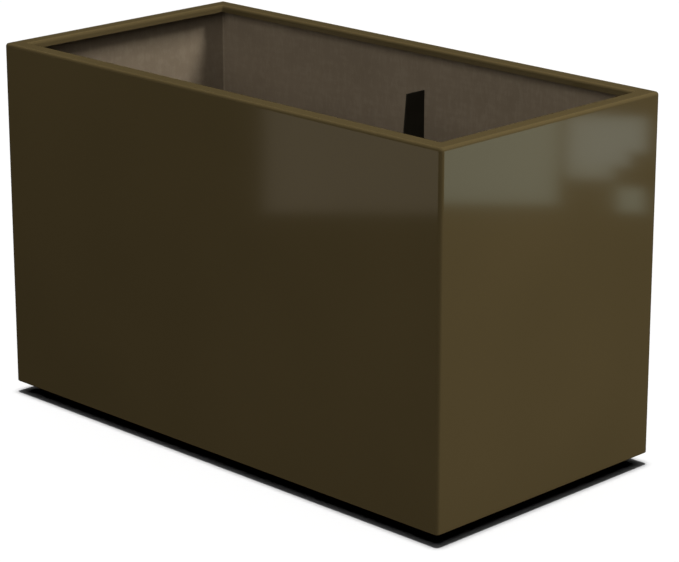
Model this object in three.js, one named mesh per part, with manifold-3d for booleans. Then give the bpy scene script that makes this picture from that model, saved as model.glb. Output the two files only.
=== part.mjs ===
// A free-standing rectangular planter with a water reservoir under a false floor.
// Millimetres, +Z up. The origin is on the ground, under the middle of the planter.
// The long side runs along X, and the front is at -Y.

import * as THREE from 'three';
import { mergeVertices } from 'three/addons/utils/BufferGeometryUtils.js';
import Module from 'manifold-3d';

const wasm = await Module();
wasm.setup();

// ---- Sizes ------------------------------------------------------------------------------------

const gap = 0.3; // between pieces that touch
const round = 16; // facets of a small round piece

const planter = {
  length: 1000,
  width: 500,
  height: 600,
  groundGap: 20,
  wall: 3,
  floor: 5,
  cornerRadius: 5,
  footEdge: 2,
};
const rim = { width: 30, depth: 12, thickness: 3, edge: 4 };
const reservoir = { depth: 106, airGap: 21 };

const rib = { thickness: 3, flange: 25, flangeDrop: 14, belowRim: 81, topWidth: 42, taper: 0.104 };
const crossbar = { height: 40, foot: 20, thickness: 3, endGap: 22 };
const bolt = { radius: 3, holeGap: 0.4, head: 5.5, headHeight: 4, spacing: 30, inset: 42, rise: 27 };

const panel = { thickness: 4, skirt: 12, skirtWall: 3, edgeGap: 4, middleGap: 2, corner: 6 };
const slot = { length: 34, width: 5, columns: 7, rows: 9, spanX: 0.82, spanY: 0.84, margin: 6 };
const basket = {
  y: 15,
  topRadius: 72,
  footRadius: 58,
  wall: 3,
  flange: 12,
  holeGap: 2,
  slots: 8,
  slotWidth: 6,
  slotHeight: 60,
};
const column = { radius: 20, wall: 3, flange: 10, flangeHeight: 3 };
const columnPlaces = { middleX: 62, middleInsetY: 97, endInsetX: 50, endInsetY: 127 };

const shaft = {
  endInset: 177,
  length: 84,
  width: 44,
  wall: 2.5,
  lipGap: 6,
  footGap: 15,
  belowRim: 68,
  inletHeight: 40,
  inletWidth: 8,
};
const collar = { wall: 4, sleeve: 20, plate: 3, ledge: 3.1, guideWall: 3.1, guideHeight: 5 };
const lid = { overlap: 4, thickness: 3, barrel: 4, pin: 1.5, barrelLength: 22, earLength: 9, earGap: 0.5, tab: 5 };
const gauge = { rod: 2.5, rodGap: 0.4, floatGap: 2.1, floatHeight: 40, tip: 6, tipHeight: 12 };
const bracket = { height: 25, thickness: 3, ear: 30, belowRim: 170 };

const outlet = {
  endInset: 247,
  overflowInset: 97,
  drainInset: 77,
  body: 13,
  wall: 3.5,
  flange: 9,
  flangeHeight: 4,
  nutWall: 7,
  nutHeight: 8.7,
  below: 10,
  step: 7.5,
  stepHeight: 10,
  gasket: 2,
};
const overflowPipe = { wall: 1.7 };
const strainer = { wall: 4.5, plate: 2, grip: 12, head: 12, slots: 6, slotWidth: 4 };
const plug = { shankLength: 16, head: 14, headHeight: 3.7, washer: 1.7, coinSlot: 2 };

const foot = {
  insetX: 70,
  insetY: 60,
  insert: 11,
  insertLength: 28,
  bossWall: 7,
  bossRoof: 8,
  insertFlange: 5,
  insertFlangeHeight: 2,
  stem: 5,
  stemClearance: 0.3,
  hex: 9.5,
  hexHeight: 6.4,
  neck: 4,
  ball: 5.5,
  ballHeight: 2.7,
  pad: 24,
  padHeight: 10.5,
  padTop: 12,
  padBase: 3,
};

// ---- Heights and faces that the pieces share ----------------------------------------------------

const top = planter.groundGap + planter.height;
const underside = planter.groundGap;
const floorTop = underside + planter.floor;
const innerX = planter.length / 2 - planter.wall;
const innerY = planter.width / 2 - planter.wall;
const panelUnder = floorTop + reservoir.depth;
const panelTop = panelUnder + panel.thickness;
const waterLevel = panelUnder - reservoir.airGap;
const ribTop = top - rib.belowRim;
const shaftTop = top - shaft.belowRim;
const shaftY = -planter.width / 2 + rim.width + shaft.lipGap + shaft.width / 2;
const collarTop = shaftTop + collar.plate;
const shaftX = innerX - shaft.endInset;
const shaftChamber = (shaft.length - 3 * shaft.wall) / 2;
const gaugeX = shaftX - (shaftChamber + shaft.wall) / 2;
const fillX = shaftX + (shaftChamber + shaft.wall) / 2;
const panelLength = innerX - panel.edgeGap - panel.middleGap;
const panelMiddle = panel.middleGap + panelLength / 2;
const panelWidth = 2 * (innerY - panel.edgeGap);
const basketSpots = [-1, 1].flatMap((side) => [-1, 1].map((half) => [
  side * (panelMiddle + (half * panelLength) / 4),
  basket.y,
]));
const columnSpots = [-1, 1].flatMap((sx) => [-1, 1].flatMap((sy) => [
  [sx * columnPlaces.middleX, sy * (innerY - columnPlaces.middleInsetY)],
  [sx * (innerX - columnPlaces.endInsetX), sy * (innerY - columnPlaces.endInsetY)],
]));
const outletX = -innerX + outlet.endInset;
const overflowY = -innerY + outlet.overflowInset;
const drainY = innerY - outlet.drainInset;
const outletBore = outlet.body - outlet.wall;
const footX = planter.length / 2 - foot.insetX;
const footY = planter.width / 2 - foot.insetY;
const footSpots = [[-footX, -footY], [footX, -footY], [footX, footY], [-footX, footY]];

// ---- Materials ----------------------------------------------------------------------------------

function finish(color, roughness, metalness = 0) {
  return new THREE.MeshStandardMaterial({ color, roughness, metalness });
}

const finishes = {
  bronzeGloss: finish(0x4a3d28, 0.18),
  blackSteel: finish(0x121212, 0.5, 0.4),
  blackPlastic: finish(0x1b1b1b, 0.6),
  greyPlastic: finish(0x5a5c5e, 0.55),
  zinc: finish(0xb4b7ba, 0.35, 1),
  rubber: finish(0x101010, 0.9),
  redPlastic: finish(0xb01e14, 0.4),
  foam: finish(0xe6e2d6, 0.8),
};

// ---- Solids -------------------------------------------------------------------------------------

function toSolid(geometry) {
  const bare = geometry.index ? geometry.toNonIndexed() : geometry.clone();
  bare.deleteAttribute('normal');
  bare.deleteAttribute('uv');
  const merged = mergeVertices(bare, 1e-4);
  return new wasm.Manifold(new wasm.Mesh({
    numProp: 3,
    vertProperties: merged.attributes.position.array,
    triVerts: new Uint32Array(merged.index.array),
  }));
}

function toGeometry(solid) {
  const { vertProperties, triVerts } = solid.getMesh();
  const indexed = new THREE.BufferGeometry();
  indexed.setAttribute('position', new THREE.BufferAttribute(vertProperties, 3));
  indexed.setIndex(new THREE.BufferAttribute(triVerts, 1));
  const geometry = indexed.toNonIndexed();
  geometry.computeVertexNormals();
  return geometry;
}

function join(first, ...others) {
  return others.reduce((solid, other) => solid.add(other), first);
}

function cut(first, ...others) {
  return others.reduce((solid, other) => solid.subtract(other), first);
}

function roundedOutline(Kind, length, width, radius, x = 0, y = 0) {
  const halfX = length / 2 - radius;
  const halfY = width / 2 - radius;
  const outline = new Kind();
  outline.absarc(x + halfX, y + halfY, radius, 0, Math.PI / 2);
  outline.absarc(x - halfX, y + halfY, radius, Math.PI / 2, Math.PI);
  outline.absarc(x - halfX, y - halfY, radius, Math.PI, 1.5 * Math.PI);
  outline.absarc(x + halfX, y - halfY, radius, 1.5 * Math.PI, 2 * Math.PI);
  outline.closePath();
  return outline;
}

function polygon(points) {
  return new THREE.Shape(points.map(([x, y]) => new THREE.Vector2(x, y)));
}

// A shape in plan, raised from one height to another, with an optional rounded edge all round.
function raised(shape, low, high, edge = 0) {
  const geometry = new THREE.ExtrudeGeometry(shape, {
    depth: high - low - 2 * edge,
    curveSegments: 2,
    bevelEnabled: edge > 0,
    bevelThickness: edge,
    bevelSize: edge,
    bevelOffset: -edge,
    bevelSegments: 2,
  });
  geometry.translate(0, 0, low + edge);
  return toSolid(geometry);
}

function block(x0, x1, y0, y1, z0, z1) {
  const geometry = new THREE.BoxGeometry(x1 - x0, y1 - y0, z1 - z0);
  geometry.translate((x0 + x1) / 2, (y0 + y1) / 2, (z0 + z1) / 2);
  return toSolid(geometry);
}

// A block centred in plan and turned about the vertical.
function turnedBlock(length, width, low, high, angle) {
  const geometry = new THREE.BoxGeometry(length, width, high - low);
  geometry.rotateZ(angle);
  geometry.translate(0, 0, (low + high) / 2);
  return toSolid(geometry);
}

function cylinder(radius, low, high, x = 0, y = 0, facets = round) {
  const geometry = new THREE.CylinderGeometry(radius, radius, high - low, facets);
  geometry.rotateX(Math.PI / 2);
  geometry.translate(x, y, (low + high) / 2);
  return toSolid(geometry);
}

// A cylinder along X or Y.
function bar(axis, radius, from, to, a, b, facets = round) {
  const geometry = new THREE.CylinderGeometry(radius, radius, to - from, facets);
  const middle = (from + to) / 2;
  if (axis === 'x') {
    geometry.rotateZ(-Math.PI / 2);
    geometry.translate(middle, a, b);
  } else {
    geometry.translate(a, middle, b);
  }
  return toSolid(geometry);
}

// A closed profile of [radius, height] points, counter-clockwise, turned about the vertical.
function turned(profile, facets = round) {
  const points = profile.map(([r, z]) => new THREE.Vector2(r, z));
  if (profile[0][0] > 0 || profile[profile.length - 1][0] > 0) points.push(points[0].clone());
  const geometry = new THREE.LatheGeometry(points, facets);
  geometry.rotateX(Math.PI / 2);
  return toSolid(geometry);
}

const group = new THREE.Group();

function place(name, solid, material, x = 0, y = 0, z = 0) {
  const mesh = new THREE.Mesh(toGeometry(solid), material);
  mesh.name = name;
  mesh.position.set(x, y, z);
  group.add(mesh);
}

// ---- The moulded outer shell --------------------------------------------------------------------

function outletHoles() {
  const hole = (y) => cylinder(outlet.body + gap, underside - 1, floorTop + 1, outletX, y);
  return [hole(overflowY), hole(drainY)];
}

function footBosses() {
  const roof = underside + foot.insertLength + foot.bossRoof;
  return footSpots.map(([x, y]) => cylinder(foot.insert + foot.bossWall, floorTop - 1, roof, x, y));
}

function footSockets() {
  const high = underside + foot.insertLength + gap;
  return footSpots.map(([x, y]) => cylinder(foot.insert + gap, underside - 1, high, x, y));
}

// Four walls and a floor in one, whose top edge turns in flat and then down as a lip.
function planterShell() {
  const { length, width, wall, cornerRadius, footEdge } = planter;
  const outer = roundedOutline(THREE.Shape, length, width, cornerRadius);
  const inner = (Kind) => roundedOutline(Kind, 2 * innerX, 2 * innerY, wall);
  const bodyTop = top - rim.edge - 1;
  const cavity = raised(inner(THREE.Shape), floorTop, top + 1);
  const walls = cut(raised(outer, underside, bodyTop, footEdge), cavity);

  const mouth = roundedOutline(THREE.Path, length - 2 * rim.width, width - 2 * rim.width, wall);
  const ring = roundedOutline(THREE.Shape, length, width, cornerRadius);
  ring.holes.push(mouth);
  const lipBack = 2 * (rim.width - rim.thickness);
  const channel = inner(THREE.Shape);
  channel.holes.push(roundedOutline(THREE.Path, length - lipBack, width - lipBack, wall));
  const channelSolid = raised(channel, top - rim.depth - 1, top - rim.thickness);
  const rimRing = cut(raised(ring, top - rim.depth, top, rim.edge), channelSolid);

  const shell = join(walls, rimRing, ...footBosses());
  place('planter_shell', cut(shell, ...footSockets(), ...outletHoles()), finishes.bronzeGloss);
}

// ---- The brace across the middle ----------------------------------------------------------------

function boltSpots(side) {
  const y = side * (innerY - bolt.inset);
  const z = floorTop + bolt.rise;
  return [[y, z], [y - side * bolt.spacing, z]];
}

// A tall angle whose web stands out from a long wall and widens towards its foot. The flange on the
// wall stops short of the top, behind the web.
function braceRib(name, side) {
  const back = side * (innerY - gap);
  const foot0 = floorTop + gap;
  const footWidth = rib.topWidth + rib.taper * (ribTop - foot0);
  const face = rib.thickness / 2;
  const web = new THREE.ExtrudeGeometry(polygon([
    [back, foot0],
    [back, ribTop],
    [back - side * rib.topWidth, ribTop],
    [back - side * footWidth, foot0],
  ]), { depth: rib.thickness, bevelEnabled: false });
  web.applyMatrix4(new THREE.Matrix4().makeBasis(
    new THREE.Vector3(0, 1, 0),
    new THREE.Vector3(0, 0, 1),
    new THREE.Vector3(1, 0, 0),
  ));
  web.translate(-face, 0, 0);
  const inside = back - side * rib.thickness;
  const flangeTop = ribTop - rib.flangeDrop;
  const flange = block(face - rib.flange, face, Math.min(back, inside), Math.max(back, inside), foot0, flangeTop);
  const holes = boltSpots(side).map(([y, z]) => bar('x', bolt.radius + bolt.holeGap, -face - 1, face + 1, y, z, 12));
  place(name, cut(join(toSolid(web), flange), ...holes), finishes.blackSteel);
}

// An angle that lies on the floor and ties the two ribs together.
function braceCrossbar() {
  const face = -rib.thickness / 2 - gap;
  const back = face - crossbar.thickness;
  const half = innerY - crossbar.endGap;
  const low = floorTop + gap;
  const upright = block(back, face, -half, half, low, low + crossbar.height);
  const footPlate = block(back - crossbar.foot, face, -half, half, low, low + crossbar.thickness);
  const holes = [-1, 1].flatMap(boltSpots)
    .map(([y, z]) => bar('x', bolt.radius + bolt.holeGap, back - 1, face + 1, y, z, 12));
  place('brace_crossbar', cut(join(upright, footPlate), ...holes), finishes.blackSteel);
}

// Each bolt has its head on the rib and its nut behind the crossbar.
function braceFasteners() {
  const headFace = rib.thickness / 2 + gap;
  const nutFace = -rib.thickness / 2 - crossbar.thickness - 2 * gap;
  const end = nutFace - bolt.headHeight - 2;
  [-1, 1].flatMap(boltSpots).forEach(([y, z], i) => {
    const head = bar('x', bolt.head, headFace, headFace + bolt.headHeight, y, z, 6);
    const shank = bar('x', bolt.radius, end, headFace + 1, y, z, 12);
    place(`brace_bolt_${i + 1}`, join(head, shank), finishes.zinc);
    const nut = bar('x', bolt.head, nutFace - bolt.headHeight, nutFace, y, z, 6);
    const bore = bar('x', bolt.radius + gap, nutFace - bolt.headHeight - 1, nutFace + 1, y, z, 12);
    place(`brace_nut_${i + 1}`, cut(nut, bore), finishes.zinc);
  });
}

// ---- The false floor ----------------------------------------------------------------------------

// True where a drain slot would run into a basket, the filler shaft or the panel's edge.
function slotBlocked(x, y) {
  const reachX = slot.length / 2 + slot.margin;
  const reachY = slot.width / 2 + slot.margin;
  const nearBasket = basketSpots.some(([bx, by]) => {
    const dx = Math.max(0, Math.abs(x - bx) - reachX);
    const dy = Math.max(0, Math.abs(y - by) - reachY);
    return Math.hypot(dx, dy) < basket.topRadius + basket.flange;
  });
  const nearShaft = Math.abs(x - shaftX) < shaft.length / 2 + reachX
    && Math.abs(y - shaftY) < shaft.width / 2 + reachY;
  return nearBasket || nearShaft;
}

function slotHole(x, y) {
  const halfX = slot.length / 2;
  const halfY = slot.width / 2;
  return block(x - halfX, x + halfX, y - halfY, y + halfY, panelUnder - 1, panelTop + 1);
}

function drainSlots(middle) {
  const holes = [];
  for (let i = 0; i < slot.columns; i += 1) {
    for (let j = 0; j < slot.rows; j += 1) {
      const x = middle + (i / (slot.columns - 1) - 0.5) * panelLength * slot.spanX;
      const y = (j / (slot.rows - 1) - 0.5) * panelWidth * slot.spanY;
      if (!slotBlocked(x, y)) holes.push(slotHole(x, y));
    }
  }
  return holes;
}

function separatorPanel(name, side) {
  const middle = side * panelMiddle;
  const outline = roundedOutline(THREE.Shape, panelLength, panelWidth, panel.corner, middle);
  const plate = raised(outline, panelUnder, panelTop);
  const inset = 2 * panel.skirtWall;
  const rimOutline = roundedOutline(THREE.Shape, panelLength, panelWidth, panel.corner, middle);
  const inside = panel.corner - panel.skirtWall;
  rimOutline.holes.push(
    roundedOutline(THREE.Path, panelLength - inset, panelWidth - inset, inside, middle),
  );
  const skirt = raised(rimOutline, panelUnder - panel.skirt, panelUnder + 1);
  const low = panelUnder - panel.skirt - 1;
  const basketHoles = basketSpots.filter(([x]) => x * side > 0)
    .map(([x, y]) => cylinder(basket.topRadius + basket.holeGap, low, panelTop + 1, x, y, 24));
  const halfX = shaft.length / 2 + 1;
  const halfY = shaft.width / 2 + 1;
  const passage = block(shaftX - halfX, shaftX + halfX, shaftY - halfY, shaftY + halfY, low, panelTop + 1);
  const ribGap = 2;
  const ribReach = rib.topWidth + rib.taper * (ribTop - panelUnder) + 2 * ribGap;
  const ribNotches = [-1, 1].map((end) => {
    const y0 = end * (innerY - ribReach);
    const y1 = end * (innerY + 1);
    const reachX = rib.flange - rib.thickness / 2 + ribGap;
    return block(-reachX, rib.thickness / 2 + ribGap, Math.min(y0, y1), Math.max(y0, y1), low, panelTop + 1);
  });
  const solid = cut(join(plate, skirt), ...basketHoles, passage, ...ribNotches, ...drainSlots(middle));
  place(name, solid, finishes.greyPlastic);
}

// A tapered cup that stands in the water, so that the soil in it draws water up.
function wickBasket(name, x, y) {
  const low = floorTop + 2 * gap;
  const high = panelTop + gap + basket.wall;
  const { topRadius, footRadius, wall, flange } = basket;
  const cup = turned([
    [0, low],
    [footRadius, low],
    [topRadius, high - wall],
    [topRadius + flange, high - wall],
    [topRadius + flange, high],
    [topRadius - wall, high],
    [footRadius - wall, low + wall],
    [0, low + wall],
  ], 24);
  const slotLow = low + 2 * wall;
  const cuts = Array.from({ length: basket.slots / 2 }, (_, i) => turnedBlock(
    3 * topRadius,
    basket.slotWidth,
    slotLow,
    slotLow + basket.slotHeight,
    (i * 2 * Math.PI) / basket.slots,
  ));
  const drainHole = cylinder(10, low - 1, low + wall + 1, 0, 0, 12);
  place(name, cut(cup, ...cuts, drainHole), finishes.blackPlastic, x, y);
}

function supportColumn(name, x, y) {
  const low = floorTop + gap;
  const high = panelUnder - gap;
  const { radius, wall, flange, flangeHeight } = column;
  const tube = turned([
    [radius - wall, low],
    [radius + flange, low],
    [radius + flange, low + flangeHeight],
    [radius, low + flangeHeight],
    [radius, high],
    [radius - wall, high],
  ]);
  place(name, tube, finishes.blackPlastic, x, y);
}

// ---- The filler shaft, its lid and the water gauge ----------------------------------------------

// A duct with two chambers side by side: the gauge's float in one, the water poured down the other.
function fillerShaft() {
  const { length, width, wall, inletHeight, inletWidth } = shaft;
  const low = floorTop + shaft.footGap;
  const outline = roundedOutline(THREE.Shape, length, width, 2, shaftX, shaftY);
  [gaugeX, fillX].forEach((middle) => {
    outline.holes.push(roundedOutline(THREE.Path, shaftChamber, width - 2 * wall, 1, middle, shaftY));
  });
  const duct = raised(outline, low, shaftTop);
  const slotZ = [low + 5, low + 5 + inletHeight];
  const half = inletWidth / 2;
  const acrossX = block(shaftX - length, shaftX + length, shaftY - half, shaftY + half, ...slotZ);
  const acrossY = [gaugeX, fillX]
    .map((middle) => block(middle - half, middle + half, shaftY - width, shaftY + width, ...slotZ));
  place('filler_shaft', cut(duct, acrossX, ...acrossY), finishes.blackPlastic);
}

const lidAxisX = shaftX + shaft.length / 2 + gap + collar.wall + lid.barrel + 1;
const lidAxisZ = collarTop - lid.barrel / 2;
const mouthSize = shaftChamber - 2 * collar.ledge;
const rodBore = gauge.rod + gauge.rodGap;

// The cap that fits over the shaft's end, with a guide for the rod, the mouth and the hinge's ears.
function fillerCollar() {
  const { wall, sleeve, plate, guideWall, guideHeight } = collar;
  const length = shaft.length + 2 * (gap + wall);
  const width = shaft.width + 2 * (gap + wall);
  const low = shaftTop - sleeve;
  const body = raised(roundedOutline(THREE.Shape, length, width, 4, shaftX, shaftY), low, collarTop);
  const socket = raised(
    roundedOutline(THREE.Shape, shaft.length + 2 * gap, shaft.width + 2 * gap, 2, shaftX, shaftY),
    low - 1,
    shaftTop + gap,
  );
  const mouth = raised(
    roundedOutline(THREE.Shape, mouthSize, mouthSize, 3, fillX, shaftY),
    shaftTop - 1,
    collarTop + plate,
  );
  const guide = cylinder(rodBore + guideWall, collarTop - 1, collarTop + guideHeight, gaugeX, shaftY);
  const bore = cylinder(rodBore, shaftTop - 1, collarTop + guideHeight + 1, gaugeX, shaftY);
  const earFrom = lid.barrelLength / 2 + lid.earGap;
  const ears = [-1, 1].map((side) => {
    const from = shaftY + side * earFrom;
    const to = from + side * lid.earLength;
    const [y0, y1] = [Math.min(from, to), Math.max(from, to)];
    const barrel = bar('y', lid.barrel, y0, y1, lidAxisX, lidAxisZ);
    const edge = shaftX + length / 2 - 1;
    return join(barrel, block(edge, lidAxisX, y0, y1, lidAxisZ - lid.barrel, lidAxisZ));
  });
  const pinBore = bar('y', lid.pin + gap, shaftY - width, shaftY + width, lidAxisX, lidAxisZ, 12);
  place('filler_collar', cut(join(cut(body, socket), guide, ...ears), mouth, bore, pinBore), finishes.greyPlastic);
}

// The flap over the mouth, with the middle barrel of the hinge and a raised finger tab.
function fillerLid() {
  const low = collarTop + gap;
  const high = low + lid.thickness;
  const half = mouthSize / 2 + lid.overlap;
  const edge = fillX - half;
  const plate = block(edge, lidAxisX, shaftY - half, shaftY + half, low, high);
  const tab = block(edge, edge + lid.thickness, shaftY - half / 2, shaftY + half / 2, low, high + lid.tab);
  const grip = lid.barrelLength / 2;
  const barrel = bar('y', lid.barrel, shaftY - grip, shaftY + grip, lidAxisX, lidAxisZ);
  const web = block(lidAxisX - lid.pin, lidAxisX + lid.barrel, shaftY - grip, shaftY + grip, lidAxisZ, high);
  // The plate is cut back beside the middle barrel, so that it turns clear of the two ears.
  const swing = [-1, 1].map((side) => {
    const from = shaftY + side * grip;
    const to = shaftY + side * (half + 1);
    return block(lidAxisX - 1.4 * lid.barrel, lidAxisX + 1, Math.min(from, to), Math.max(from, to), low - 1, high + 1);
  });
  const pinBore = bar('y', lid.pin + gap, shaftY - 2 * half, shaftY + 2 * half, lidAxisX, lidAxisZ, 12);
  place('filler_lid', cut(join(plate, tab, barrel, web), ...swing, pinBore), finishes.greyPlastic);
}

function lidPin() {
  const half = lid.barrelLength / 2 + lid.earGap + lid.earLength;
  place('lid_hinge_pin', bar('y', lid.pin, shaftY - half, shaftY + half, lidAxisX, lidAxisZ, 12), finishes.zinc);
}

// The float hangs on its rod, and the tip on the rod's upper end rests on the collar's guide.
function waterGauge() {
  const guideTop = collarTop + collar.guideHeight;
  const floatLow = floorTop + shaft.footGap + 8;
  const radius = shaftChamber / 2 - gauge.floatGap;
  const float = turned([
    [gauge.rod + gap, floatLow],
    [radius - 3, floatLow],
    [radius, floatLow + 3],
    [radius, floatLow + gauge.floatHeight - 3],
    [radius - 3, floatLow + gauge.floatHeight],
    [gauge.rod + gap, floatLow + gauge.floatHeight],
  ]);
  place('gauge_float', float, finishes.foam, gaugeX, shaftY);
  const tipLow = guideTop + gap;
  const rod = turned([
    [0, floatLow - 4],
    [2 * gauge.rod, floatLow - 4],
    [2 * gauge.rod, floatLow - gap],
    [gauge.rod, floatLow - gap],
    [gauge.rod, tipLow + gauge.tipHeight / 2],
    [0, tipLow + gauge.tipHeight / 2],
  ], 16);
  place('gauge_rod', rod, finishes.zinc, gaugeX, shaftY);
  const tip = turned([
    [gauge.rod + gap, tipLow],
    [gauge.tip, tipLow],
    [gauge.tip, tipLow + 0.6 * gauge.tipHeight],
    [0.6 * gauge.tip, tipLow + gauge.tipHeight],
    [0, tipLow + gauge.tipHeight],
    [0, tipLow + gauge.tipHeight / 2 + gap],
    [gauge.rod + gap, tipLow + gauge.tipHeight / 2 + gap],
  ]);
  place('gauge_tip', tip, finishes.redPlastic, gaugeX, shaftY);
}

// A strap bonded to the front wall that holds the shaft upright.
function shaftBracket() {
  const { height, thickness, ear } = bracket;
  const wallFace = -innerY + gap;
  const half = shaft.length / 2 + gap;
  const nose = shaftY + shaft.width / 2 + gap;
  const low = top - bracket.belowRim - height;
  const span = (x0, x1, y0, y1) => block(x0, x1, y0, y1, low, low + height);
  const arms = [-1, 1].map((side) => {
    const near = shaftX + side * half;
    const far = near + side * thickness;
    return span(Math.min(near, far), Math.max(near, far), wallFace, nose + thickness);
  });
  const front = span(shaftX - half - thickness, shaftX + half + thickness, nose, nose + thickness);
  const ears = [-1, 1].map((side) => {
    const near = shaftX + side * half;
    const far = near + side * (thickness + ear);
    return span(Math.min(near, far), Math.max(near, far), wallFace, wallFace + thickness);
  });
  place('shaft_bracket', join(front, ...arms, ...ears), finishes.blackPlastic);
}

// ---- Outlets through the floor ------------------------------------------------------------------

const outletEnd = underside - outlet.below;

function outletSet(prefix, y, stepped) {
  const sealTop = floorTop + gap + outlet.gasket;
  const rimRadius = outlet.body + outlet.flange;
  const gasket = turned([
    [outlet.body + gap, floorTop + gap],
    [rimRadius, floorTop + gap],
    [rimRadius, sealTop],
    [outlet.body + gap, sealTop],
  ]);
  place(`${prefix}_gasket`, gasket, finishes.rubber, outletX, y);
  const flangeLow = sealTop + gap;
  const body = join(
    cylinder(outlet.body, outletEnd, flangeLow + 1),
    cylinder(rimRadius, flangeLow, flangeLow + outlet.flangeHeight),
  );
  const boreLow = stepped ? outletEnd + outlet.stepHeight : outletEnd - 1;
  const bore = cylinder(outletBore, boreLow, flangeLow + outlet.flangeHeight + 1);
  const through = cylinder(outlet.step, outletEnd - 1, flangeLow + 1);
  place(`${prefix}_fitting`, cut(body, bore, through), finishes.blackPlastic, outletX, y);
  const nutTop = underside - gap;
  const nut = cut(
    cylinder(outlet.body + outlet.nutWall, nutTop - outlet.nutHeight, nutTop, 0, 0, 6),
    cylinder(outlet.body + gap, nutTop - outlet.nutHeight - 1, nutTop + 1),
  );
  place(`${prefix}_nut`, nut, finishes.blackPlastic, outletX, y);
}

// The standing pipe sets the highest water level, and its cap keeps roots out.
function overflow() {
  const low = outletEnd + outlet.stepHeight + gap;
  const radius = outletBore - gap;
  const pipe = turned([
    [radius - overflowPipe.wall, low],
    [radius, low],
    [radius, waterLevel],
    [radius - overflowPipe.wall, waterLevel],
  ]);
  place('overflow_pipe', pipe, finishes.greyPlastic, outletX, overflowY);
  const skirt = waterLevel - strainer.grip;
  const head = waterLevel + strainer.head - strainer.plate;
  const inside = radius + gap;
  const outside = inside + strainer.wall;
  const cap = turned([
    [inside, skirt],
    [outside, skirt],
    [outside, head],
    [outside - strainer.wall, head + strainer.plate],
    [0, head + strainer.plate],
    [0, head],
    [inside, head],
  ]);
  const cuts = Array.from({ length: strainer.slots / 2 }, (_, i) => turnedBlock(
    3 * outside,
    strainer.slotWidth,
    waterLevel + gap,
    head - 1,
    (i * 2 * Math.PI) / strainer.slots,
  ));
  place('overflow_strainer', cut(cap, ...cuts), finishes.blackPlastic, outletX, overflowY);
}

// The plug screws up into the drain's fitting against a washer.
function drainPlug() {
  const washerTop = outletEnd - gap;
  const washerLow = washerTop - plug.washer;
  const washer = turned([
    [outletBore, washerLow],
    [plug.head, washerLow],
    [plug.head, washerTop],
    [outletBore, washerTop],
  ]);
  place('drain_washer', washer, finishes.rubber, outletX, drainY);
  const headTop = washerLow - gap;
  const headLow = headTop - plug.headHeight;
  const body = join(
    cylinder(plug.head, headLow, headTop),
    cylinder(outletBore - gap, headTop - 1, outletEnd + plug.shankLength),
  );
  const coinSlot = block(-plug.head, plug.head, -1, 1, headLow - 1, headLow + plug.coinSlot);
  place('drain_plug', cut(body, coinSlot), finishes.greyPlastic, outletX, drainY);
}

// ---- Levelling feet -----------------------------------------------------------------------------

function levellingFoot(number, x, y) {
  const flangeTop = underside - gap;
  const flangeLow = flangeTop - foot.insertFlangeHeight;
  const bore = foot.stem + foot.stemClearance;
  const insert = turned([
    [bore, flangeLow],
    [foot.insert + foot.insertFlange, flangeLow],
    [foot.insert + foot.insertFlange, flangeTop],
    [foot.insert, flangeTop],
    [foot.insert, underside + foot.insertLength],
    [bore, underside + foot.insertLength],
  ]);
  place(`foot_insert_${number}`, insert, finishes.zinc, x, y);

  const hexTop = flangeLow - gap;
  const hexLow = hexTop - foot.hexHeight;
  const stem = join(
    cylinder(foot.stem, hexTop - 1, underside + foot.insertLength - 3, 0, 0, 16),
    cylinder(foot.hex, hexLow, hexTop, 0, 0, 6),
    cylinder(foot.neck, foot.padBase + foot.ballHeight, hexLow + 1, 0, 0, 16),
    cylinder(foot.ball, foot.padBase + gap, foot.padBase + gap + foot.ballHeight, 0, 0, 16),
  );
  place(`foot_stem_${number}`, stem, finishes.zinc, x, y);

  const pocketTop = foot.padBase + foot.ballHeight + 2 * gap;
  const pad = turned([
    [0, 0],
    [foot.pad, 0],
    [foot.pad, 4],
    [foot.padTop, foot.padHeight],
    [foot.neck + gap, foot.padHeight],
    [foot.neck + gap, pocketTop],
    [foot.ball + gap, pocketTop],
    [foot.ball + gap, foot.padBase],
    [0, foot.padBase],
  ]);
  place(`foot_pad_${number}`, pad, finishes.blackPlastic, x, y);
}

// ---- The whole planter --------------------------------------------------------------------------

planterShell();
braceRib('rear_brace_rib', 1);
braceRib('front_brace_rib', -1);
braceCrossbar();
braceFasteners();
separatorPanel('separator_panel_left', -1);
separatorPanel('separator_panel_right', 1);
basketSpots.forEach(([x, y], i) => wickBasket(`wick_basket_${i + 1}`, x, y));
columnSpots.forEach(([x, y], i) => supportColumn(`support_column_${i + 1}`, x, y));
fillerShaft();
fillerCollar();
fillerLid();
lidPin();
waterGauge();
shaftBracket();
outletSet('overflow', overflowY, true);
overflow();
outletSet('drain', drainY, false);
drainPlug();
footSpots.forEach(([x, y], i) => levellingFoot(i + 1, x, y));

export default group;
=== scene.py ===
import math

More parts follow.
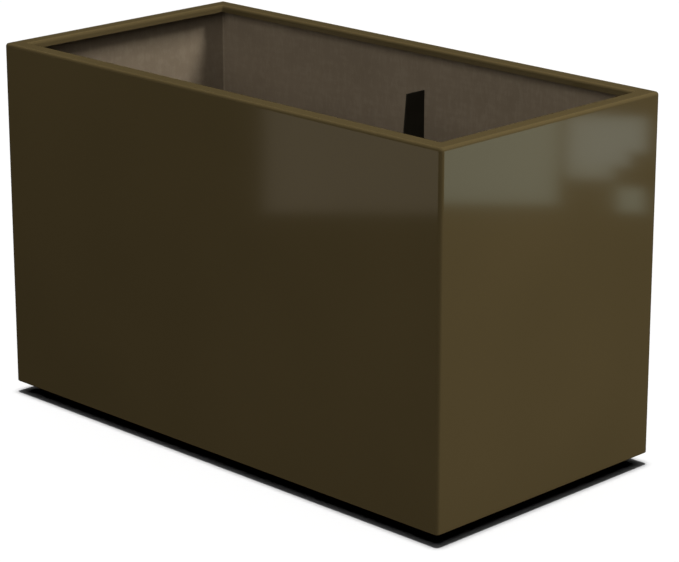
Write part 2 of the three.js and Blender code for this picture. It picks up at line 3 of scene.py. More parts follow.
import bmesh
import bpy
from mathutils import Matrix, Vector


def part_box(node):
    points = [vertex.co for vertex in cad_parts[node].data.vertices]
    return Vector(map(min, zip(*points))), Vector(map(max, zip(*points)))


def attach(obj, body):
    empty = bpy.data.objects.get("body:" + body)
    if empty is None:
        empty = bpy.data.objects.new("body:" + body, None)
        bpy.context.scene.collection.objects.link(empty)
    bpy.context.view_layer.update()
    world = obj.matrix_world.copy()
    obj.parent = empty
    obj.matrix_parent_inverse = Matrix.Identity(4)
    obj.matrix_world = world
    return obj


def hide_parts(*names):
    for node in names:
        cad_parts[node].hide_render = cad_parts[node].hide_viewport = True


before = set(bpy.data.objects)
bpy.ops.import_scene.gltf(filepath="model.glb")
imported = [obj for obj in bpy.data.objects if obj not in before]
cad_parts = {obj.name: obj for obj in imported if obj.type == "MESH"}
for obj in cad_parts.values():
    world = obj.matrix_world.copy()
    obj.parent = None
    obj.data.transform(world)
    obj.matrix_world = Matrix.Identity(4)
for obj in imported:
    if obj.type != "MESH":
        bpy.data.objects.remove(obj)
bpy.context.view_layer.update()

tiny = 1e-5
past = 0.01  # how far a cutter reaches past what it cuts
fullTurn = 2 * math.pi


# ---- selecting and shaping, as by hand

def toObjectMode():
    if bpy.context.object and bpy.context.object.mode != "OBJECT":
        bpy.ops.object.mode_set(mode="OBJECT")


def selectNothing():
    toObjectMode()
    bpy.ops.object.select_all(action="DESELECT")


def named(name):
    piece = bpy.context.object
    piece.name = name
    return piece


def onlyThis(piece):
    selectNothing()
    piece.select_set(True)
    bpy.context.view_layer.objects.active = piece


def edit(piece):
    onlyThis(piece)
    bpy.ops.object.mode_set(mode="EDIT")
    bpy.ops.mesh.select_all(action="DESELECT")


def selectFaces(piece, test):
    bpy.ops.mesh.select_mode(type="FACE")
    mesh = bmesh.from_edit_mesh(piece.data)
    for face in mesh.faces:
        face.select_set(bool(test(face.calc_center_median(), face.normal)))
    bmesh.update_edit_mesh(piece.data)


def selectEdges(piece, test):
    bpy.ops.mesh.select_mode(type="EDGE")
    mesh = bmesh.from_edit_mesh(piece.data)
    for edge in mesh.edges:
        edge.select_set(bool(test(edge.verts[0].co, edge.verts[1].co)))
    bmesh.update_edit_mesh(piece.data)


def selectPoints(piece, test):
    bpy.ops.mesh.select_mode(type="VERT")
    mesh = bmesh.from_edit_mesh(piece.data)
    for point in mesh.verts:
        point.select_set(bool(test(point.co)))
    bmesh.update_edit_mesh(piece.data)


def upright(a, b):
    return abs(a.x - b.x) < tiny and abs(a.y - b.y) < tiny


def above(height):
    return lambda a, b: min(a.z, b.z) > height - tiny


def below(height):
    return lambda a, b: max(a.z, b.z) < height + tiny


def bevelEdges(piece, test, width, segments=4):
    edit(piece)
    selectEdges(piece, test)
    bpy.ops.mesh.bevel(offset=width, segments=segments, affect="EDGES")
    toObjectMode()


def softenEdges(piece, width, segments=2, angle=35):
    onlyThis(piece)
    bevel = piece.modifiers.new("soften", "BEVEL")
    bevel.width = width
    bevel.segments = segments
    bevel.limit_method = "ANGLE"
    bevel.angle_limit = math.radians(angle)
    bpy.ops.object.modifier_apply(modifier=bevel.name)


def tidyMesh(piece):
    edit(piece)
    bpy.ops.mesh.select_all(action="SELECT")
    bpy.ops.mesh.remove_doubles(threshold=tiny)
    bpy.ops.mesh.normals_make_consistent(inside=False)
    toObjectMode()


def startBlock(name, low, high):
    selectNothing()
    low, high = Vector(low), Vector(high)
    bpy.ops.mesh.primitive_cube_add(size=1, location=(low + high) / 2, scale=high - low)
    piece = named(name)
    bpy.ops.object.transform_apply(location=True, rotation=True, scale=True)
    return piece


def put(piece, place=(0, 0, 0), turn=(0, 0, 0)):
    piece.rotation_euler = turn
    piece.location = Vector(place)
    onlyThis(piece)
    bpy.ops.object.transform_apply(location=True, rotation=True, scale=False)
    return piece


def middleOf(node):
    low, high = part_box(node)
    return (low + high) / 2


def startRod(name, radius, low, high, axis="Z", sides=32):
    selectNothing()
    low, high = Vector(low), Vector(high)
    turn = {"Z": (0, 0, 0), "X": (0, math.pi / 2, 0), "Y": (math.pi / 2, 0, 0)}[axis]
    bpy.ops.mesh.primitive_cylinder_add(vertices=sides, radius=radius, depth=(high - low).length,
                                        location=(low + high) / 2, rotation=turn)
    piece = named(name)
    bpy.ops.object.transform_apply(location=True, rotation=True, scale=True)
    return piece


def uprightRod(name, radius, spot, low, high, sides):
    return startRod(name, radius, (spot[0], spot[1], low), (spot[0], spot[1], high), sides=sides)


# A profile of (radius, height) points drawn point by point, then spun about an upright axis.
def spinProfile(name, profile, centre=(0, 0), steps=48):
    selectNothing()
    bpy.ops.mesh.primitive_plane_add(size=0.001)
    piece = named(name)
    edit(piece)
    bpy.ops.mesh.select_mode(type="VERT")
    bpy.ops.mesh.select_all(action="SELECT")
    bpy.ops.mesh.merge(type="CENTER")
    here = Vector((centre[0] + profile[0][0], centre[1], profile[0][1]))
    bpy.ops.transform.translate(value=here)
    points = list(profile[1:])
    if profile[0][0] > tiny or profile[-1][0] > tiny:
        points.append(profile[0])
    for radius, height in points:
        there = Vector((centre[0] + radius, centre[1], height))
        bpy.ops.mesh.extrude_region_move(TRANSFORM_OT_translate={"value": there - here})
        here = there
    bpy.ops.mesh.select_all(action="SELECT")
    bpy.ops.mesh.spin(steps=steps, angle=fullTurn, center=(centre[0], centre[1], 0), axis=(0, 0, 1))
    toObjectMode()
    tidyMesh(piece)
    return piece


def copyOf(piece, name, shift=(0, 0, 0)):
    onlyThis(piece)
    bpy.ops.object.duplicate(linked=False)
    return put(named(name), shift)


def joined(pieces):
    selectNothing()
    for piece in pieces:
        piece.select_set(True)
    bpy.context.view_layer.objects.active = pieces[0]
    if len(pieces) > 1:
        bpy.ops.object.join()
    return pieces[0]


def combine(piece, other, operation):
    onlyThis(piece)
    boolean = piece.modifiers.new("combine", "BOOLEAN")
    boolean.operation = operation
    boolean.solver = "EXACT"
    boolean.object = other
    bpy.ops.object.modifier_apply(modifier=boolean.name)
    bpy.data.objects.remove(other)
    return piece


def cutAway(piece, cutters):
    return combine(piece, joined(cutters), "DIFFERENCE")


def weld(piece, others):
    for other in others:
        combine(piece, other, "UNION")
    return piece


# A cutter for a rounded slot through a plate, made about the middle of the frame.
def slotCutter(length, width, low, high, sides):
    half = (length - width) / 2
    cutter = uprightRod("slotCutter", width / 2, (0, 0), low, high, sides)
    edit(cutter)
    for way in (1, -1):
        selectPoints(cutter, lambda p, way=way: p.x * way > tiny)
        bpy.ops.transform.translate(value=(way * half, 0, 0))
    toObjectMode()
    return cutter


# Slots cut through the wall of a round piece, two at a time.
def slotRound(piece, centre, count, reach, width, low, high, rounding=0.0):
    for i in range(count // 2):
        across = startBlock("across", (-reach, -width / 2, low), (reach, width / 2, high))
        if rounding:
            bevelEdges(across, lambda a, b: abs(a.x - b.x) > reach, rounding, 4)
        cutAway(piece, [put(across, (*centre, 0), (0, 0, i * fullTurn / count))])


def onRing(centre, radius, turn):
    return centre[0] + radius * math.cos(turn), centre[1] + radius * math.sin(turn)


# The profile of a thread, with one ridge for each turn.
def ridges(count, start, pitch, root, crest):
    profile = []
    for turn in range(count):
        at = start + turn * pitch
        profile += [(root, at), (crest, at + pitch / 2)]
    return profile + [(root, start + count * pitch)]


def roundedBlock(name, low, high, radius, segments=5):
    block = startBlock(name, low, high)
    bevelEdges(block, upright, radius, segments)
    return block


# ---- materials

class Wire:  # one value inside a material, which adds Math nodes as it is used in sums
    def __init__(self, finish, socket):
        self.finish = finish
        self.socket = socket

    def maths(self, operation, first, second):
        made = self.finish.node("Math", {0: first, 1: second})
        made.socket.node.operation = operation
        return made

    def __add__(self, other):
        return self.maths("ADD", self, other)

    def __mul__(self, other):
        return self.maths("MULTIPLY", self, other)


class Finish:  # a material with one main shader
    def __init__(self, name, settings):
        self.material = bpy.data.materials.new(name)
        self.material.use_nodes = True
        self.tree = self.material.node_tree
        self.tree.nodes.clear()
        self.shader = self.tree.nodes.new("ShaderNodeBsdfPrincipled")
        output = self.tree.nodes.new("ShaderNodeOutputMaterial")
        self.tree.links.new(self.shader.outputs[0], output.inputs["Surface"])
        for key, value in settings.items():
            self.shader.inputs[key].default_value = value
        self.place = self.node("TexCoord", output="Object")

    def node(self, kind, values={}, output=0):
        made = self.tree.nodes.new("ShaderNode" + kind)
        for key, value in values.items():
            self.feed(made.inputs[key], value)
        return Wire(self, made.outputs[output])

    def feed(self, socket, value):
        if isinstance(value, Wire):
            self.tree.links.new(value.socket, socket)
        else:
            socket.default_value = value

    def noise(self, scale, detail=3.0, stretch=(1, 1, 1), roughness=0.5):
        place = self.node("Mapping", {"Vector": self.place, "Scale": stretch})
        return self.node("TexNoise", {"Vector": place, "Scale": scale, "Detail": detail,
                                      "Roughness": roughness})

    def ramp(self, value, low, high):
        made = self.node("ValToRGB", {"Fac": value})
        dark, light = made.socket.node.color_ramp.elements
        dark.position, light.position = low, high
        return made

    def blendColors(self, amount, first, second):
        made = self.tree.nodes.new("ShaderNodeMix")
        made.data_type = "RGBA"
        self.feed(made.inputs[0], amount)
        self.feed(made.inputs[6], first)
        self.feed(made.inputs[7], second)
        return Wire(self, made.outputs[2])

    def set(self, key, value):
        self.feed(self.shader.inputs[key], value)

    def bump(self, height, strength, distance):
        self.set("Normal", self.node("Bump", {"Height": height, "Strength": strength, "Distance": distance}))


def rgb(red, green, blue, lighter=1.0):
    return (red * lighter, green * lighter, blue * lighter, 1.0)


gelcoatLook = {
    "deep": rgb(0.067, 0.0490, 0.0208),
    "warm": rgb(0.077, 0.0560, 0.0240),
    "fleck": rgb(0.095, 0.072, 0.034),
    "roughness": 0.056,
    "smudge": 0.016,
    "ripple": 0.00006,
}


def makeGelcoat():  # deep gloss over an olive bronze pigment, a little uneven from the mould
    look = gelcoatLook
    finish = Finish("gelcoatBronze", {"IOR": 1.5, "Metallic": 0.0})
    cloud = finish.ramp(finish.noise(2.2, 2.0), 0.3, 0.75)
    fleck = finish.ramp(finish.noise(900.0, 1.0), 0.62, 0.74)
    color = finish.blendColors(cloud, look["deep"], look["warm"])
    finish.set("Base Color", finish.blendColors(fleck * 0.3, color, look["fleck"]))
    smudge = finish.noise(9.0, 4.0, (1, 1, 0.4))
    finish.set("Roughness", smudge * look["smudge"] + (look["roughness"] - look["smudge"] / 2))
    finish.bump(finish.noise(4.0, 1.0), 1.0, look["ripple"])
    return finish.material


rawFaceLook = {
    "base": rgb(0.190, 0.150, 0.104),
    "dark": rgb(0.155, 0.121, 0.082),
    "fibre": rgb(0.240, 0.196, 0.142),
    "strandHeight": 0.0006,
}


def makeRawFace():  # the unpolished inner side, where chopped strands show through the resin
    look = rawFaceLook
    finish = Finish("rawInnerFace", {"IOR": 1.45, "Metallic": 0.0, "Specular IOR Level": 0.3})
    patch = finish.ramp(finish.noise(6.0, 5.0, roughness=0.6), 0.32, 0.7)
    strandA = finish.noise(260.0, 2.0, (1, 0.12, 0.3))
    strandB = finish.noise(260.0, 2.0, (0.12, 1, 0.5))
    strandC = finish.noise(240.0, 2.0, (0.5, 0.4, 0.1))
    strands = strandA * 0.34 + strandB * 0.33 + strandC * 0.33
    fibre = finish.ramp(strands, 0.47, 0.6)
    color = finish.blendColors(patch, look["dark"], look["base"])
    color = finish.blendColors(fibre * 0.3, color, look["fibre"])
    finish.set("Base Color", color)
    finish.set("Roughness", patch * 0.15 + 0.62)
    finish.bump(strands + finish.noise(40.0, 3.0) * 0.5, 0.5, look["strandHeight"])
    return finish.material


coatedSteelLook = {"base": rgb(0.0105, 0.0092, 0.0062), "worn": rgb(0.020, 0.018, 0.013), "grain": 0.0002}


def makeCoatedSteel():  # powder coat with a fine orange-peel skin
    look = coatedSteelLook
    finish = Finish("blackPowderCoat", {"IOR": 1.5, "Metallic": 0.0, "Specular IOR Level": 0.25})
    cloud = finish.ramp(finish.noise(18.0, 4.0), 0.4, 0.75)
    finish.set("Base Color", finish.blendColors(cloud, look["base"], look["worn"]))
    finish.set("Roughness", cloud * 0.12 + 0.5)
    finish.bump(finish.noise(1400.0, 2.0), 0.4, look["grain"])
    return finish.material


def makeMouldedPlastic(name, base, light, roughness):  # fine spark-eroded texture and faint flow marks
    finish = Finish(name, {"IOR": 1.46, "Metallic": 0.0})
    flow = finish.ramp(finish.noise(14.0, 3.0, (1, 1, 0.25)), 0.38, 0.72)
    speck = finish.ramp(finish.noise(1100.0, 1.0), 0.5, 0.66)
    color = finish.blendColors(flow, rgb(*base), rgb(*light))
    finish.set("Base Color", finish.blendColors(speck * 0.12, color, rgb(*light, 1.35)))
    finish.set("Roughness", flow * 0.1 + speck * 0.06 + (roughness - 0.08))
    finish.bump(finish.noise(1800.0, 2.0) + finish.noise(60.0, 2.0) * 0.4, 0.35, 0.00025)
    return finish.material


def makeZinc():  # bright zinc plating with the spangle of the steel beneath
    finish = Finish("zincPlating", {"IOR": 1.5, "Metallic": 1.0})
    grain = finish.noise(420.0, 3.0, (1, 1, 0.06))
    cloud = finish.ramp(finish.noise(70.0, 3.0), 0.35, 0.7)
    color = finish.blendColors(cloud, rgb(0.50, 0.51, 0.53), rgb(0.62, 0.63, 0.64))
    tinted = finish.blendColors(finish.ramp(finish.noise(30.0, 2.0), 0.5, 0.8) * 0.3, color,
                                rgb(0.60, 0.56, 0.40))
    finish.set("Base Color", tinted)
    finish.set("Roughness", grain * 0.16 + cloud * 0.1 + 0.2)
    finish.bump(grain, 0.25, 0.0001)
    return finish.material


def makeRubber():  # black sealing rubber with a little bloom
    finish = Finish("sealRubber", {"IOR": 1.52, "Metallic": 0.0, "Specular IOR Level": 0.3})
    bloom = finish.ramp(finish.noise(45.0, 4.0), 0.45, 0.8)
    finish.set("Base Color", finish.blendColors(bloom, rgb(0.007, 0.007, 0.007), rgb(0.02, 0.019, 0.018)))
    finish.set("Roughness", bloom * 0.12 + 0.76)
    finish.bump(finish.noise(900.0, 2.0), 0.3, 0.0002)
    return finish.material


def makeFoam():  # closed cells, pale cream
    finish = Finish("floatFoam", {"IOR": 1.4, "Metallic": 0.0, "Specular IOR Level": 0.2})
    cells = finish.node("TexVoronoi", {"Vector": finish.place, "Scale": 700.0}, output="Distance")
    shade = finish.ramp(cells, 0.1, 0.75)
    finish.set("Base Color", finish.blendColors(shade, rgb(0.62, 0.58, 0.48), rgb(0.78, 0.75, 0.66)))
    finish.set("Roughness", shade * 0.1 + 0.78)
    finish.bump(cells, 0.5, 0.0004)
    return finish.material


materials = {
    "bronze_gelcoat": makeGelcoat(),
    "raw_inner_face": makeRawFace(),
    "black_coated_steel": makeCoatedSteel(),
    "black_plastic": makeMouldedPlastic("blackMoulding", (0.010, 0.010, 0.010), (0.016, 0.016, 0.0165), 0.5),
    "grey_plastic": makeMouldedPlastic("greyMoulding", (0.088, 0.092, 0.096), (0.112, 0.117, 0.122), 0.48),
    "red_plastic": makeMouldedPlastic("redMoulding", (0.42, 0.017, 0.010), (0.50, 0.026, 0.014), 0.3),
    "zinc_plated_steel": makeZinc(),
    "black_rubber": makeRubber(),
    "pale_foam": makeFoam(),
}
print("materials made")


# ---- handing a finished piece to its body

def settle(piece, node, slotName, body="planter", smooth=30):
    onlyThis(piece)
    bpy.ops.object.shade_smooth_by_angle(angle=math.radians(smooth))
    flatten = piece.modifiers.new("flatten", "WEIGHTED_NORMAL")
    flatten.mode = "FACE_AREA"
    flatten.weight = 100
    flatten.keep_sharp = True
    bpy.ops.object.modifier_apply(modifier=flatten.name)
    if not piece.data.materials:
        piece.data.materials.append(materials[slotName])
    piece.name = "fine_" + node
    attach(piece, body)
    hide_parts(node)
    return piece


# A finished piece stands for the first node of a row, and copies of it for the others.
def settleRow(piece, word, count, slotName):
    for number in range(2, count + 1):
        shift = middleOf(f"{word}_{number}") - middleOf(f"{word}_1")
        shift.z = 0
        settle(copyOf(piece, word, shift), f"{word}_{number}", slotName)
    settle(piece, f"{word}_1", slotName)


# ---- the moulded shell

shellSizes = {
    "wall": 0.003,
    "floor": 0.005,
    "rim": 0.030,
    "rimThickness": 0.003,
    "lip": 0.012,
    "cornerRadius": 0.0062,
    "rimRadius": 0.0058,
    "footRadius": 0.002,
    "innerRadius": 0.003,
    "lipRadius": 0.0012,
    "mouthRadius": 0.006,
    "bossRadius": 0.018,
    "bossTop": 0.056,
    "socketRadius": 0.0113,
    "socketTop": 0.0483,
    "outletRadius": 0.0133,
}
shellLow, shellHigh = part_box("planter_shell")
floorTop = shellLow.z + shellSizes["floor"]
feet = [middleOf(f"foot_pad_{n}") for n in range(1, 5)]
outlets = [middleOf("overflow_fitting").xy, middleOf("drain_fitting").xy]


def ringBlock(name, inset, low, high, radius):
    return roundedBlock(name, (shellLow.x + inset, shellLow.y + inset, low),
                        (shellHigh.x - inset, shellHigh.y - inset, high), radius, 6)


# A block whose top flares outwards in a quarter round, to cut a rounded rim.
def flaredCutter(inset, low, high, radius, corner):
    cutter = ringBlock("mouth", inset, low, high - radius, corner)
    edit(cutter)
    selectFaces(cutter, lambda c, n: n.z > 0.9)
    halfX, halfY, height = shellHigh.x - inset, shellHigh.y - inset, high - radius
    for step in range(1, 7):
        turn = step / 6 * math.pi / 2
        nextX = shellHigh.x - inset + radius * (1 - math.cos(turn))
        nextY = shellHigh.y - inset + radius * (1 - math.cos(turn))
        nextHeight = high - radius + radius * math.sin(turn)
        bpy.ops.mesh.extrude_region_move(TRANSFORM_OT_translate={"value": (0, 0, nextHeight - height)})
        bpy.ops.transform.resize(value=(nextX / halfX, nextY / halfY, 1), center_override=(0, 0, nextHeight))
        halfX, halfY, height = nextX, nextY, nextHeight
    bpy.ops.mesh.extrude_region_move(TRANSFORM_OT_translate={"value": (0, 0, 0.002)})
    toObjectMode()
    return cutter


def makeShell():
    size = shellSizes
    top = shellHigh.z
    underRim = top - size["rimThickness"]
    lipBottom = top - size["lip"]
    turnIn = size["rim"] - size["rimThickness"]
    shell = ringBlock("shell", 0.0, shellLow.z, top, size["cornerRadius"])
    bevelEdges(shell, above(top), size["rimRadius"], 7)
    bevelEdges(shell, below(shellLow.z), size["footRadius"], 3)
    hollow = ringBlock("hollow", size["wall"], floorTop, underRim, size["innerRadius"])
    bevelEdges(hollow, below(floorTop), size["innerRadius"] * 0.8, 4)
    bevelEdges(hollow, above(underRim), size["innerRadius"] * 0.8, 4)
    lip = ringBlock("lip", turnIn, lipBottom, underRim + 0.001, size["innerRadius"])
    bevelEdges(lip, below(lipBottom), size["lipRadius"], 3)
    cutAway(hollow, [lip])
    cutAway(shell, [hollow])
    mouth = flaredCutter(size["rim"], lipBottom - past, top, size["mouthRadius"], size["innerRadius"])
    cutAway(shell, [mouth])

    for spot in feet:
        boss = uprightRod("boss", size["bossRadius"], spot, floorTop - 0.002, size["bossTop"], 48)
        bevelEdges(boss, above(size["bossTop"]), 0.003, 4)
        combine(shell, boss, "UNION")
    under = shellLow.z - past
    cutters = [uprightRod("socket", size["socketRadius"], s, under, size["socketTop"], 48) for s in feet]
    over = floorTop + past
    cutters += [uprightRod("outletHole", size["outletRadius"], s, under, over, 48) for s in outlets]
    cutAway(shell, cutters)
    shell.data.materials.append(materials["bronze_gelcoat"])
    shell.data.materials.append(materials["raw_inner_face"])
    edit(shell)
    turnInX, turnInY = shellHigh.x - turnIn + 0.0005, shellHigh.y - turnIn + 0.0005

    def isInside(c, n):
        underRim = c.z < top - size["rimThickness"] + tiny and c.z > floorTop - tiny
        inward = size["wall"] * 0.9
        behindLip = abs(c.x) < shellHigh.x - inward and abs(c.y) < shellHigh.y - inward
        onLip = c.z > top - size["lip"] - tiny and abs(c.x) < turnInX and abs(c.y) < turnInY
        return underRim and behindLip and not onLip
    selectFaces(shell, isInside)
    shell.active_material_index = 1
    bpy.ops.object.material_slot_assign()
    toObjectMode()
    return settle(shell, "planter_shell", "bronze_gelcoat")


makeShell()
print("shell made")


# ---- the brace across the middle

braceSizes = {"web": 0.003, "topWidth": 0.042, "edge": 0.0005, "holeRadius": 0.0034, "flangeDrop": 0.014}
boltBoxes = [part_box(f"brace_bolt_{n}") for n in range(1, 5)]


def boltHoles(low, high):
    cutters = []
    for boltLow, boltHigh in boltBoxes:
        y, z = (boltLow.y + boltHigh.y) / 2, (boltLow.z + boltHigh.z) / 2
        ends = (low - past, y, z), (high + past, y, z)
        cutters.append(startRod("boltHole", braceSizes["holeRadius"], *ends, "X", 24))
    return cutters


def makeRib(node, side):
    low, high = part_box(node)
    size = braceSizes
    wallFace = high.y if side > 0 else low.y
    nose = low.y if side > 0 else high.y
    webLow = (high.x - size["web"], min(wallFace, nose), low.z)
    rib = startBlock("rib", webLow, (high.x, max(wallFace, nose), high.z))
    edit(rib)
    selectPoints(rib, lambda p: p.z > high.z - tiny and abs(p.y - nose) < tiny)
    topNose = wallFace - side * size["topWidth"]
    bpy.ops.transform.translate(value=(0, topNose - nose, 0))
    bpy.ops.mesh.select_all(action="SELECT")
    bpy.ops.mesh.bisect(plane_co=(0, wallFace - side * size["web"], 0), plane_no=(0, 1, 0))
    bpy.ops.mesh.select_all(action="SELECT")
    flangeTop = high.z - size["flangeDrop"]
    bpy.ops.mesh.bisect(plane_co=(0, 0, flangeTop), plane_no=(0, 0, 1))
    selectFaces(rib, lambda c, n: n.x < -0.9 and abs(c.y - wallFace) < size["web"] and c.z < flangeTop)
    flange = (high.x - low.x) - size["web"]
    bpy.ops.mesh.extrude_region_move(TRANSFORM_OT_translate={"value": (-flange, 0, 0)})
    toObjectMode()
    cutAway(rib, boltHoles(low.x, high.x))
    softenEdges(rib, size["edge"], 2)
    settle(rib, node, "black_coated_steel", smooth=40)


def makeCrossbar():
    low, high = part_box("brace_crossbar")
    size = braceSizes
    barPiece = startBlock("crossbar", low, (high.x, high.y, low.z + size["web"]))
    edit(barPiece)
    bpy.ops.mesh.select_all(action="SELECT")
    bpy.ops.mesh.bisect(plane_co=(high.x - size["web"], 0, 0), plane_no=(1, 0, 0))
    selectFaces(barPiece, lambda c, n: n.z > 0.9 and c.x > high.x - size["web"])
    bpy.ops.mesh.extrude_region_move(TRANSFORM_OT_translate={"value": (0, 0, high.z - low.z - size["web"])})
    toObjectMode()
    cutAway(barPiece, boltHoles(low.x, high.x))
    softenEdges(barPiece, size["edge"], 2)
    settle(barPiece, "brace_crossbar", "black_coated_steel", smooth=40)


fastenerSizes = {
    "boltRadius": 0.003,
    "headRadius": 0.0055,
    "headHeight": 0.004,
    "chamfer": 0.0004,
    "pitch": 0.001,
    "threadDepth": 0.0003,
    "nutGap": 0.0002,
}


def makeBrace():
    makeRib("rear_brace_rib", 1)
    makeRib("front_brace_rib", -1)
    makeCrossbar()
    size = fastenerSizes
    for number, (low, high) in enumerate(boltBoxes, 1):
        y, z = (low.y + high.y) / 2, (low.z + high.z) / 2
        headFace = high.x - size["headHeight"]
        head = startRod("boltHead", size["headRadius"], (headFace, y, z), (high.x, y, z), "X", 6)
        bevelEdges(head, lambda a, b: min(a.x, b.x) > high.x - tiny, size["chamfer"], 2)
        length = headFace + 0.001 - low.x
        count = int(length / size["pitch"])
        radius, root = size["boltRadius"], size["boltRadius"] - size["threadDepth"]
        profile = [(0, 0), *ridges(count, 0, length / count, root, radius), (0, length)]
        shank = spinProfile("shank", profile, steps=24)
        combine(head, put(shank, (low.x, y, z), (0, math.pi / 2, 0)), "UNION")
        settle(head, f"brace_bolt_{number}", "zinc_plated_steel")
        nutLow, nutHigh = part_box(f"brace_nut_{number}")
        nut = startRod("nut", size["headRadius"], (nutLow.x, y, z), (nutHigh.x, y, z), "X", 6)
        bevelEdges(nut, lambda a, b: abs(a.x - b.x) < tiny, size["chamfer"], 2)
        cutAway(nut, [startRod("nutBore", size["boltRadius"] + size["nutGap"], (nutLow.x - past, y, z),
                               (nutHigh.x + past, y, z), "X", 32)])
        settle(nut, f"brace_nut_{number}", "zinc_plated_steel")


makeBrace()
print("brace made")


# ---- the false floor

panelSizes = {
    "plate": 0.004,
    "skirtWall": 0.003,
    "corner": 0.006,
    "edge": 0.0008,
    "slotLength": 0.034,
    "slotWidth": 0.005,
    "columns": 7,
    "rows": 9,
    "spanX": 0.82,
    "spanY": 0.84,
    "slotMargin": 0.006,
    "basketHole": 0.074,
    "basketReach": 0.084,
    "ribGap": 0.002,
}
basketSpots = [middleOf(f"wick_basket_{n}") for n in range(1, 5)]
shaftLow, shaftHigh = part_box("filler_shaft")


def slotIsFree(x, y):
    size = panelSizes
    reachX = size["slotLength"] / 2 + size["slotMargin"]
    reachY = size["slotWidth"] / 2 + size["slotMargin"]
    for spot in basketSpots:
        awayX = max(0.0, abs(x - spot.x) - reachX)
        awayY = max(0.0, abs(y - spot.y) - reachY)
        if math.hypot(awayX, awayY) < size["basketReach"]:
            return False
    besideX = shaftLow.x - reachX < x < shaftHigh.x + reachX
    besideY = shaftLow.y - reachY < y < shaftHigh.y + reachY
    return not (besideX and besideY)


def makePanel(node):
    size = panelSizes
    low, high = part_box(node)
    panel = roundedBlock("panel", low, high, size["corner"], 5)
    underPlate = high.z - size["plate"]
    hollow = roundedBlock("hollow", (low.x + size["skirtWall"], low.y + size["skirtWall"], low.z - past),
                          (high.x - size["skirtWall"], high.y - size["skirtWall"], underPlate),
                          size["corner"] - size["skirtWall"], 4)
    cutAway(panel, [hollow])
    bevelEdges(panel, above(high.z), size["edge"], 3)
    middleX, middleY = (low.x + high.x) / 2, (low.y + high.y) / 2
    cutters = []
    pattern = slotCutter(size["slotLength"], size["slotWidth"], low.z - past, high.z + past, 16)
    for i in range(size["columns"]):
        for j in range(size["rows"]):
            x = middleX + (i / (size["columns"] - 1) - 0.5) * (high.x - low.x) * size["spanX"]
            y = middleY + (j / (size["rows"] - 1) - 0.5) * (high.y - low.y) * size["spanY"]
            if slotIsFree(x, y):
                cutters.append(copyOf(pattern, "slot", (x, y, 0)))
    bpy.data.objects.remove(pattern)
    for spot in basketSpots:
        if low.x < spot.x < high.x:
            cutters.append(uprightRod("basketHole", size["basketHole"], spot, low.z - past,
                                      high.z + past, 96))
    if low.x < shaftLow.x < high.x:
        cutters.append(roundedBlock("passage", (shaftLow.x - 0.001, shaftLow.y - 0.001, low.z - past),
                                    (shaftHigh.x + 0.001, shaftHigh.y + 0.001, high.z + past), 0.002, 3))
    cutAway(panel, cutters)
    notches = []
    for ribNode, side in (("rear_brace_rib", 1), ("front_brace_rib", -1)):
        ribLow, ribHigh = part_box(ribNode)
        share = (ribHigh.z - low.z) / (ribHigh.z - ribLow.z)
        topWidth = braceSizes["topWidth"]
        reach = topWidth + share * (ribHigh.y - ribLow.y - topWidth) + 2 * size["ribGap"] + 0.0012
        wallFace = ribHigh.y if side > 0 else ribLow.y
        ys = sorted((wallFace + side * past, wallFace - side * reach))
        notches.append(startBlock("notch", (ribLow.x - size["ribGap"], ys[0], low.z - past),
                                  (ribHigh.x + size["ribGap"], ys[1], high.z + past)))
    cutAway(panel, notches)
    settle(panel, node, "grey_plastic")


makePanel("separator_panel_left")
makePanel("separator_panel_right")
print("false floor made")

basketSizes = {
    "topRadius": 0.072,
    "footRadius": 0.058,
    "wall": 0.003,
    "flange": 0.012,
    "round": 0.0012,
    "slots": 8,
    "slotWidth": 0.006,
    "slotHeight": 0.060,
    "drainRadius": 0.010,
    "footHoles": 8,
    "footHoleRadius": 0.003,
    "footHoleRing": 0.036,
}


def makeBaskets():
    size = basketSizes
    low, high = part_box("wick_basket_1")
    centre = basketSpots[0].xy
    under = high.z - size["wall"]
    r = size["round"]
    topRadius, footRadius, wall = size["topRadius"], size["footRadius"], size["wall"]
    outer = topRadius + size["flange"]
    cup = spinProfile("basket", [
        (0, low.z), (footRadius - 2 * r, low.z), (footRadius - 0.6 * r, low.z + 0.5 * r),
        (footRadius, low.z + 2 * r), (topRadius - 0.3 * r, under - r), (topRadius + r, under),
        (outer - 0.4 * r, under), (outer, under + 0.4 * r), (outer, high.z - 0.8 * r),
        (outer - 0.8 * r, high.z), (topRadius - wall + 1.2 * r, high.z), (topRadius - wall, high.z - 1.2 * r),
        (footRadius - wall, low.z + wall + 1.5 * r), (footRadius - wall - 1.5 * r, low.z + wall),
        (0, low.z + wall),
    ], centre, 96)
    slotLow = low.z + 2 * wall
    slotRound(cup, centre, size["slots"], 2 * topRadius, size["slotWidth"], slotLow,
              slotLow + size["slotHeight"], size["slotWidth"] * 0.49)
    holes = [uprightRod("drainHole", size["drainRadius"], centre, low.z - past, low.z + 2 * wall, 32)]
    for i in range(size["footHoles"]):
        spot = onRing(centre, size["footHoleRing"], (i + 0.5) * fullTurn / size["footHoles"])
        holes.append(uprightRod("footHole", size["footHoleRadius"], spot, low.z - past, low.z + 2 * wall, 16))
    cutAway(cup, holes)
    settleRow(cup, "wick_basket", 4, "black_plastic")


makeBaskets()

columnSizes = {
    "radius": 0.020,
    "wall": 0.003,
    "flange": 0.010,
    "flangeHeight": 0.003,
    "fillet": 0.002,
    "edge": 0.0005,
}


